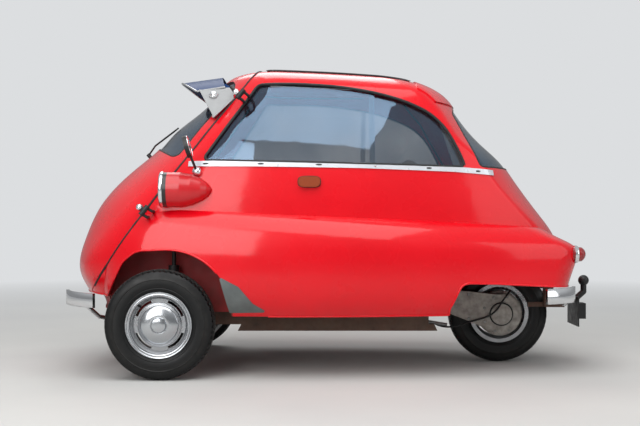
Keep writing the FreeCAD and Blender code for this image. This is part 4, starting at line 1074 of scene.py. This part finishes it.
# %% Cover screws and rings of the chain case
case_tree = skin_tree(("chain_case",))
CASE_SCREW = [(-0.003, 0.0), (-0.003, 0.0068), (0.0035, 0.0068), (0.0050, 0.0052), (0.0050, 0.0)]
COVER_CIRCLE = 0.083
turns = [math.radians(a) for a in (-115, -70, -25, 20, 65, 110)]
spots = [(REAR_X + COVER_CIRCLE * math.cos(a), AXLE_Z + COVER_CIRCLE * math.sin(a)) for a in turns]
spots += [(-0.425, 0.270), (-0.425, 0.333), (-0.520, 0.240), (-0.520, 0.327), (-0.605, 0.209),
          (-0.605, 0.321)]
for k, (x, z) in enumerate(spots):
    spot, direction = on_side(x, z, 1.0, case_tree)
    if spot is None:
        print("no case at", round(x, 3), round(z, 3))
        continue
    screw = turned("case_screw_%d" % (k + 1), CASE_SCREW, spot, (0, 1, 0), 6)
    hand_over(screw, steel, "car", 20.0)
RING = [(-0.003, 0.0475), (-0.003, 0.0545), (0.0022, 0.0545), (0.0030, 0.0525), (0.0030, 0.0490),
        (-0.003, 0.0475)]
gasket = turned("case_cap_gasket", RING, (REAR_X, 0.1285, AXLE_Z), (0, 1, 0), 72)
hand_over(gasket, seal_rubber, "car")
print("case screws:", len(spots))

# %% [markdown]
# ## Brake cable
# A cable in a rubber sleeve comes down behind the case, crosses it and runs forward to the relay rod
# under the floor. It is clipped along its way and doesn't move, so it is a tube through listed points.

# %% Brake cable across the case
CABLE_ROUTE = [(-0.800, 0.100, 0.335), (-0.782, 0.132, 0.318), (-0.761, 0.146, 0.296), (-0.734, 0.147, 0.250),
               (-0.693, 0.140, 0.218), (-0.610, 0.131, 0.195), (-0.541, 0.128, 0.170), (-0.472, 0.124, 0.172),
               (-0.440, 0.100, 0.190)]
ROD_ROUTE = [(-0.392, 0.120, 0.196), (-0.420, 0.124, 0.196), (-0.470, 0.124, 0.186), (-0.506, 0.124, 0.181)]
SLEEVE_R, ROD_R = 0.0040, 0.0075
cable = line_tube("brake_cable", CABLE_ROUTE, SLEEVE_R)
print("brake cable:", round(sum(math.dist(a, b) for a, b in zip(CABLE_ROUTE, CABLE_ROUTE[1:])), 3), "m")
hand_over(cable, seal_rubber, "car", 60.0)
lever = line_tube("brake_relay_rod", ROD_ROUTE, ROD_R)
hand_over(lever, steel, "car", 60.0)

# %% [markdown]
# ## Louvres of the engine lid
# Pressed louvres let hot air out of the engine bay on the right side. One is shaped as a half shell
# that stands open at its lower edge, and copies are laid in two columns on the curved lid.

# %% One louvre, copied over the lid
LOUVRE_SIZE = (0.094, 0.015, 0.022)
lid_tree = skin_tree(("engine_lid",))


def louvre(name, spot, direction):
    """Half-round pressed shell, closed above and at the ends, open below."""
    bpy.ops.mesh.primitive_uv_sphere_add(segments=28, ring_count=14, radius=0.5, location=(0.0, 0.0, 0.0))
    obj = bpy.context.object
    obj.name = name
    only(obj)
    bpy.ops.object.mode_set(mode="EDIT")
    bpy.ops.mesh.select_all(action="SELECT")
    bpy.ops.transform.resize(value=LOUVRE_SIZE)
    bpy.ops.mesh.select_all(action="SELECT")
    bpy.ops.mesh.bisect(plane_co=(0.0, 0.0, -0.0015), plane_no=(0.0, 0.0, -1.0), clear_outer=True)
    bpy.ops.object.mode_set(mode="OBJECT")
    shell_wall = obj.modifiers.new("wall", "SOLIDIFY")
    shell_wall.thickness = 0.0012
    shell_wall.offset = 1.0
    apply_modifiers(obj)
    out = direction.normalized()
    along = Vector((1.0, 0.0, 0.0))
    along = (along - out * along.dot(out)).normalized()
    up = along.cross(out)
    if up.z < 0.0:
        up = -up
    turn = Matrix((along, out, up)).transposed()
    if turn.determinant() < 0.0:
        turn = Matrix((-along, out, up)).transposed()
    obj.matrix_world = Matrix.Translation(spot) @ turn.to_4x4()
    return hand_over(obj, enamel, "engine_lid", 50.0)


SHOULDER_Z, CREASE_HALF = 0.640, 0.032
ROW_PITCH = 0.031
for column, x in enumerate((-0.500, -0.370)):
    for row in range(9):
        z = 0.500 + ROW_PITCH * row
        spot, direction = on_side(x, z, -1.0, lid_tree)
        if spot is not None and abs(z - SHOULDER_Z) > CREASE_HALF:
            louvre("louvre_%d_%d" % (column + 1, row + 1), spot + direction * 0.0002, direction)

# %% [markdown]
# ## Rebate and lock of the engine lid
# The lid shuts against a folded rebate that closes the gap above it, and a chrome lock holds it. The
# rebate is a bar laid just behind the shell's skin along the lid's upper edge.

# %% Rebate and lock
LID_REBATE = 0.0155
LID_REAR_X, LID_LENGTH, LID_TOP_Z, LID_RISE = -0.622, 0.385, 0.8135, 0.004
ABOVE_LID = 0.020
flange_path = []
for k in range(13):
    share = k / 12
    x, z = LID_REAR_X + LID_LENGTH * share, LID_TOP_Z + LID_RISE * share
    spot, direction = on_side(x, z + ABOVE_LID, -1.0)
    flange_path.append(tuple(spot + Vector((0.0, LID_REBATE, -ABOVE_LID))))
hand_over(line_tube("lid_rebate", flange_path, 0.0090), enamel, "car", 60.0)
LOCK = [(-0.003, 0.0), (-0.003, 0.0150), (0.0025, 0.0150), (0.0040, 0.0130), (0.0045, 0.0070),
        (0.0075, 0.0060), (0.0080, 0.0)]
spot, direction = on_side(-0.430, 0.790, -1.0, lid_tree)
hand_over(turned("lid_lock", LOCK, spot, direction, 40), chrome, "engine_lid")
print("lid lock at", [round(v, 3) for v in spot])

# %% [markdown]
# ## Bench seat
# The bench is sprung and padded under woven cloth, so it bulges between its seams. A bevelled block
# is remeshed into even small faces and blown up a little as cloth, which gives the bulge that no
# bevel would. Where it would swell too far, each point is held back to a greatest move.

# %% Blocks and padding by cloth pressure
BLOCK_BEVEL = 0.028
CLOTH_FRAMES = 16
PRESSURE = 4.0


def cushion_block(name, centre, size, lean):
    """Bevelled block at its place, leaning back by some degrees, with an even mesh."""
    bpy.ops.mesh.primitive_cube_add(size=1.0, location=(0.0, 0.0, 0.0))
    obj = bpy.context.object
    obj.name = name
    only(obj)
    bpy.ops.object.mode_set(mode="EDIT")
    bpy.ops.mesh.select_all(action="SELECT")
    bpy.ops.transform.resize(value=size)
    bpy.ops.mesh.bevel(offset=BLOCK_BEVEL, segments=4, affect="EDGES")
    bpy.ops.object.mode_set(mode="OBJECT")
    obj.matrix_world = Matrix.Translation(centre) @ Matrix.Rotation(math.radians(lean), 4, "Y")
    bpy.ops.object.transform_apply(location=True, rotation=True, scale=True)
    remesh = obj.modifiers.new("remesh", "REMESH")
    remesh.mode = "VOXEL"
    remesh.voxel_size = 0.008
    apply_modifiers(obj)
    return obj


def blow_up(obj, most):
    """Swell a block as cloth under pressure, no point moving further than a limit."""
    start = [v.co.copy() for v in obj.data.vertices]
    cloth = obj.modifiers.new("blown", "CLOTH")
    cloth.settings.use_pressure = True
    cloth.settings.uniform_pressure_force = PRESSURE
    cloth.settings.effector_weights.gravity = 0.0
    cloth.settings.quality = 4
    scene = bpy.context.scene
    for step in range(1, CLOTH_FRAMES + 1):
        scene.frame_set(step)
    blown = obj.evaluated_get(bpy.context.evaluated_depsgraph_get()).to_mesh()
    shapes = [v.co.copy() for v in blown.vertices]
    obj.modifiers.clear()
    scene.frame_set(1)
    for vertex, a, b in zip(obj.data.vertices, start, shapes):
        move = b - a
        if move.length > most:
            move *= most / move.length
        vertex.co = a + move


# %% [markdown]
# ## Sewn channels
# The cover is sewn through from front to back every twelve centimetres. Each seam is pressed in as a
# smooth groove towards the cushion's middle, a bell curve across the seam, because real stitching
# pulls the padding down softly on both sides.

# %% The two cushions of the bench
CHANNEL_DEPTH, CHANNEL_HALF_WIDTH, CHANNEL_PITCH = 0.007, 0.006, 0.12
CHANNELS = [CHANNEL_PITCH * k for k in (-3, -2, -1, 0, 1, 2, 3)]


def press_channels(obj, centre, lean):
    """Grooves from front to back, pressed towards the cushion's middle line."""
    tilt = Matrix.Rotation(math.radians(-lean), 3, "Y")
    for vertex in obj.data.vertices:
        local = tilt @ (vertex.co - Vector(centre))
        depth = 0.0
        for at in CHANNELS:
            depth += CHANNEL_DEPTH * math.exp(-((local.y - at) / CHANNEL_HALF_WIDTH) ** 2)
        inward = Vector((0.0, local.y, 0.0)) - local
        if inward.length > 0.01:
            vertex.co += (tilt.transposed() @ inward.normalized()) * depth


def pad(name, centre, size, lean, replaced, most):
    """Crowned cushion: a block, swollen as cloth, with sewn channels."""
    obj = cushion_block(name, centre, size, lean)
    blow_up(obj, most)
    press_channels(obj, centre, lean)
    rounding = obj.modifiers.new("rounded", "SUBSURF")
    rounding.levels = rounding.render_levels = 1
    apply_modifiers(obj)
    hand_over(obj, seat_cloth, "car", 60.0)
    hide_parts(replaced)
    print(name, len(obj.data.polygons), "faces")


pad("seat_cushion", (-0.120, 0.0, 0.462), (0.345, 0.925, 0.150), 0.0, "seat_base", 0.022)
pad("seat_backrest", (-0.272, 0.0, 0.738), (0.072, 0.925, 0.390), -14.0, "seat_back", 0.018)

# %% [markdown]
# ## Folding roof
# The roof opening is closed by a sheet of doubled, rubberised cloth, stretched over three bows. It
# sags a little between them, and a sewn hem runs around its edge.

# %% Stretched roof cloth
CLOTH_LENGTH, CLOTH_WIDTH, CLOTH_X = 0.648, 0.594, -0.0045
HALF_LENGTH, HALF_CLOTH = CLOTH_LENGTH / 2.0, CLOTH_WIDTH / 2.0
SAG = 0.0085
roof_tree = skin_tree(("fabric_roof",))
bpy.ops.object.select_all(action="DESELECT")
bpy.ops.mesh.primitive_grid_add(x_subdivisions=66, y_subdivisions=60, size=1.0, location=(0.0, 0.0, 0.0))
roof_sheet = bpy.context.object
roof_sheet.name = "stretched_roof_cloth"
only(roof_sheet)
bpy.ops.object.mode_set(mode="EDIT")
bpy.ops.mesh.select_all(action="SELECT")
bpy.ops.transform.resize(value=(CLOTH_LENGTH, CLOTH_WIDTH, 1.0))
bpy.ops.transform.translate(value=(CLOTH_X, 0.0, 0.0))
bpy.ops.object.mode_set(mode="OBJECT")
BOWS = (-0.300, -0.110, 0.100, 0.300)
for vertex in roof_sheet.data.vertices:
    x, y = vertex.co.x, vertex.co.y
    hit, normal = depth_from(roof_tree, (x, y, 2.0), (0, 0, -1))
    if hit is None:
        hit, normal = depth_from(roof_tree, (x * 0.985, y * 0.985, 2.0), (0, 0, -1))
    gap = min(1.0, max(0.0, (HALF_CLOTH - abs(y)) / 0.06))
    sag = 0.0
    for a, b in zip(BOWS, BOWS[1:]):
        if a < x < b:
            sag = SAG * math.sin(math.pi * (x - a) / (b - a)) ** 0.8 * gap
    corner = max(0.0, abs(x) / HALF_LENGTH + abs(y) / HALF_CLOTH - 1.15)
    pull = 0.0022 * corner * math.sin(75.0 * (abs(x) - abs(y))) * min(1.0, (HALF_LENGTH - abs(x)) / 0.02)
    fold = 0.0012 * math.sin(38.0 * x + 9.0 * math.sin(5.0 * y)) * (1.0 - gap)
    vertex.co.z = hit.z + 0.0008 - sag + fold + min(0.0, pull)
wall = roof_sheet.modifiers.new("cloth_thickness", "SOLIDIFY")
wall.thickness = 0.0030
wall.offset = -1.0
rounding = roof_sheet.modifiers.new("rounded", "SUBSURF")
rounding.levels = rounding.render_levels = 1
apply_modifiers(roof_sheet)
hand_over(roof_sheet, roof_cloth, "car", 60.0)
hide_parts("fabric_roof")
print("roof cloth:", len(roof_sheet.data.polygons), "faces")

# %% [markdown]
# ## Hem, seams and latch of the roof
# The cloth is turned over into a hem all around, sewn to two bows, and a chrome latch holds its
# front edge. The hem follows a superellipse a little inside the cloth's edge.

# %% Hem, seams and latch
def over_roof(x, y, lift=-0.0015):
    """Point of the roof's surface, sunk a little so that a seam sits in the cloth."""
    hit, normal = depth_from(roof_tree, (x, y, 2.0), (0, 0, -1))
    return tuple(hit + Vector((0.0, 0.0, lift)))


hem_path = []
for k in range(96):
    a = math.tau * k / 96
    c, s = math.cos(a), math.sin(a)
    x = CLOTH_X + 0.318 * math.copysign(abs(c) ** 0.22, c)
    y = 0.291 * math.copysign(abs(s) ** 0.22, s)
    hem_path.append(over_roof(x, y))
hem = hand_over(line_tube("roof_hem", hem_path, 0.0042, True), roof_cloth, "car", 60.0)
seams = []
for x in BOWS[1:3]:
    path = [over_roof(x, -0.285 + 0.57 * k / 30) for k in range(31)]
    seam = line_tube("roof_seam_%d" % (len(seams) + 1), path, 0.0024)
    seams.append(hand_over(seam, roof_cloth, "car", 60.0))
latch_path = [over_roof(x, y, lift) for x, y, lift in
              ((0.288, -0.045, -0.003), (0.296, 0.0, -0.002), (0.288, 0.045, -0.003))]
hand_over(line_tube("roof_latch", latch_path, 0.0050), chrome, "car", 60.0)
print("roof seams:", len(seams))

# %% [markdown]
# ## Cockpit
# The dial sits in a pod on the steering column and faces the driver, and a chrome button closes the
# wheel's middle. Both are turned about the tilted axes that their solids have.

# %% Dial and horn button
DIAL_PLACE = (0.640, 0.250, 0.762)
pod_axis = Vector((-0.695, 0.0, 0.719)).normalized()
DIAL_RIM = [(-0.002, 0.0500), (-0.002, 0.0590), (0.003, 0.0605), (0.006, 0.0590), (0.006, 0.0540),
            (0.002, 0.0500), (-0.002, 0.0500)]
DIAL = [(-0.001, 0.0), (-0.001, 0.0530), (0.0015, 0.0530), (0.0015, 0.0)]
hand_over(turned("dial_rim", DIAL_RIM, DIAL_PLACE, pod_axis, 64), chrome, "car")
hand_over(turned("dial_face", DIAL, DIAL_PLACE, pod_axis, 64), grip_plastic, "car")
HORN = [(-0.002, 0.0), (-0.002, 0.0330), (0.006, 0.0330), (0.011, 0.0290), (0.014, 0.0180), (0.015, 0.0)]
wheel_axis = Vector((-0.6578, 0.0, 0.7532))
wheel_hub = Vector((0.5622, 0.250, 0.7781))
horn_place = wheel_hub + wheel_axis * 0.016
hand_over(turned("horn_button", HORN, horn_place, wheel_axis, 48), chrome, "steering_wheel")
print("horn button at", [round(v, 3) for v in horn_place])

# %% [markdown]
# ## Floor
# The car stands on a plain pale floor. Far out the floor takes the tone of the backdrop, so that no
# hard line cuts behind the car and chrome has something pale to mirror. The glow that does this is
# seen by the camera and, weaker, in mirrors, but it lights nothing.

# %% Floor
BACKDROP = "#DCDEE0"
FADE_FROM, FADE_TO = 1.9, 7.0
MIRRORED_GLOW = 0.4
bpy.ops.object.select_all(action="DESELECT")
bpy.ops.mesh.primitive_circle_add(vertices=96, radius=60.0, fill_type="NGON", location=(0.0, 0.0, -0.0005))
floor = bpy.context.object
floor.name = "studio_floor"
only(floor)
bpy.ops.object.mode_set(mode="EDIT")
bpy.ops.mesh.select_all(action="SELECT")
bpy.ops.mesh.inset(thickness=50.0)
bpy.ops.object.mode_set(mode="OBJECT")


def floor_paint():
    """Matt floor paint that fades into the backdrop far out."""
    material, tree, shader, place = new_material("pale_studio_floor")
    cloud = add_node(tree, "ShaderNodeTexNoise", {"Vector": place, "Scale": MM / 900.0, "Detail": 4.0})
    patch = add_node(tree, "ShaderNodeMapRange", {0: cloud, 1: 0.3, 2: 0.7, 3: 0.0, 4: 1.0})
    clean, trodden = linear("#CFCFCC"), linear("#C8C8C6")
    tone = add_node(tree, "ShaderNodeMix", {0: patch, 6: clean, 7: trodden}, BLEND, BLENDED)
    wire(tree, shader, {"Base Color": tone, "Roughness": 0.85, "Specular IOR Level": 0.2})
    flat = add_node(tree, "ShaderNodeVectorMath", {0: place, 1: (1.0, 1.0, 0.0)}, {"operation": "MULTIPLY"})
    reach = add_node(tree, "ShaderNodeVectorMath", {0: flat}, {"operation": "LENGTH"}, "Value")
    far = add_node(tree, "ShaderNodeMapRange", {0: reach, 1: FADE_FROM, 2: FADE_TO, 3: 0.0, 4: 1.0})
    by_camera = add_node(tree, "ShaderNodeLightPath", {}, out="Is Camera Ray")
    through_glass = add_node(tree, "ShaderNodeLightPath", {}, out="Is Transmission Ray")
    in_mirrors = add_node(tree, "ShaderNodeLightPath", {}, out="Is Glossy Ray")
    seen = add_node(tree, "ShaderNodeMath", {0: by_camera, 1: through_glass}, {"operation": "MAXIMUM"})
    weaker = add_node(tree, "ShaderNodeMath", {0: in_mirrors, 1: MIRRORED_GLOW}, {"operation": "MULTIPLY"})
    seen = add_node(tree, "ShaderNodeMath", {0: seen, 1: weaker}, {"operation": "MAXIMUM"})
    fade = add_node(tree, "ShaderNodeMath", {0: far, 1: seen}, {"operation": "MULTIPLY"})
    glow = add_node(tree, "ShaderNodeEmission", {"Color": linear(BACKDROP), "Strength": 1.0})
    mixed = add_node(tree, "ShaderNodeMixShader", {0: fade, 1: shader.outputs[0], 2: glow})
    wire(tree, tree.nodes["Material Output"], {"Surface": mixed})
    return material


# Matt paint on a smooth floor: it shows the shadow and no mirror.
floor.data.materials.append(floor_paint())
print("floor fades from", FADE_FROM, "to", FADE_TO)

# %% [markdown]
# ## Backdrop
# The camera sees a pale backdrop, and so does what is seen through glass. Mirrors see it darker near
# the ground and paler higher up, as a street with a sky would be, which draws the form of chrome and
# gloss paint. What falls on the car as light is only a weak, even part of it.

# %% Backdrop
HORIZON, SKY = (0.10, 0.30), (0.50, 0.75)
EVEN_LIGHT = 0.38
world = bpy.data.worlds.new("pale_room")
bpy.context.scene.world = world
world.use_nodes = True
room = world.node_tree
by_camera = add_node(room, "ShaderNodeLightPath", {}, out="Is Camera Ray")
through_glass = add_node(room, "ShaderNodeLightPath", {}, out="Is Transmission Ray")
in_mirrors = add_node(room, "ShaderNodeLightPath", {}, out="Is Glossy Ray")
seen = add_node(room, "ShaderNodeMath", {0: by_camera, 1: through_glass}, {"operation": "MAXIMUM"})
around = add_node(room, "ShaderNodeTexCoord", {}, out="Generated")
lift = add_node(room, "ShaderNodeSeparateXYZ", {"Vector": around}, out="Z")
level = add_node(room, "ShaderNodeMapRange", {0: lift, 1: HORIZON[0], 2: SKY[0], 3: HORIZON[1], 4: SKY[1]})
mirrored = add_node(room, "ShaderNodeMath", {0: level, 1: in_mirrors}, {"operation": "MULTIPLY"})
seen = add_node(room, "ShaderNodeMath", {0: seen, 1: mirrored}, {"operation": "MAXIMUM"})
strength = add_node(room, "ShaderNodeMath", {0: seen, 1: EVEN_LIGHT}, {"operation": "MAXIMUM"})
wire(room, room.nodes["Background"], {"Strength": strength, "Color": linear(BACKDROP)})
print("backdrop:", BACKDROP)

# %% [markdown]
# ## Lamps
# Four large square lamps stand around the car. The one overhead draws the shoulder, the key lamp
# beside the camera fills the flank, and two weaker ones lift the tail and the far side.

# %% Lamps
def soft_box(name, location, target, size, power):
    """Square area lamp that looks at a point."""
    data = bpy.data.lights.new(name, "AREA")
    data.energy = power
    data.size = size
    lamp = bpy.data.objects.new(name, data)
    bpy.context.scene.collection.objects.link(lamp)
    lamp.location = location
    lamp.rotation_euler = (Vector(target) - Vector(location)).to_track_quat("-Z", "Y").to_euler()
    return lamp


lamps_made = [
    soft_box("overhead_box", (0.3, 2.2, 4.4), (0.0, 0.0, 0.4), 4.4, 170.0),
    soft_box("key_box", (2.6, 5.4, 2.6), (0.1, 0.0, 0.5), 3.4, 150.0),
    soft_box("tail_box", (-4.6, 2.6, 2.2), (-0.4, 0.0, 0.5), 3.2, 45.0),
    soft_box("far_box", (0.5, -3.4, 4.6), (0.0, 0.0, 0.6), 3.0, 80.0),
]
print("lamps:", len(lamps_made))
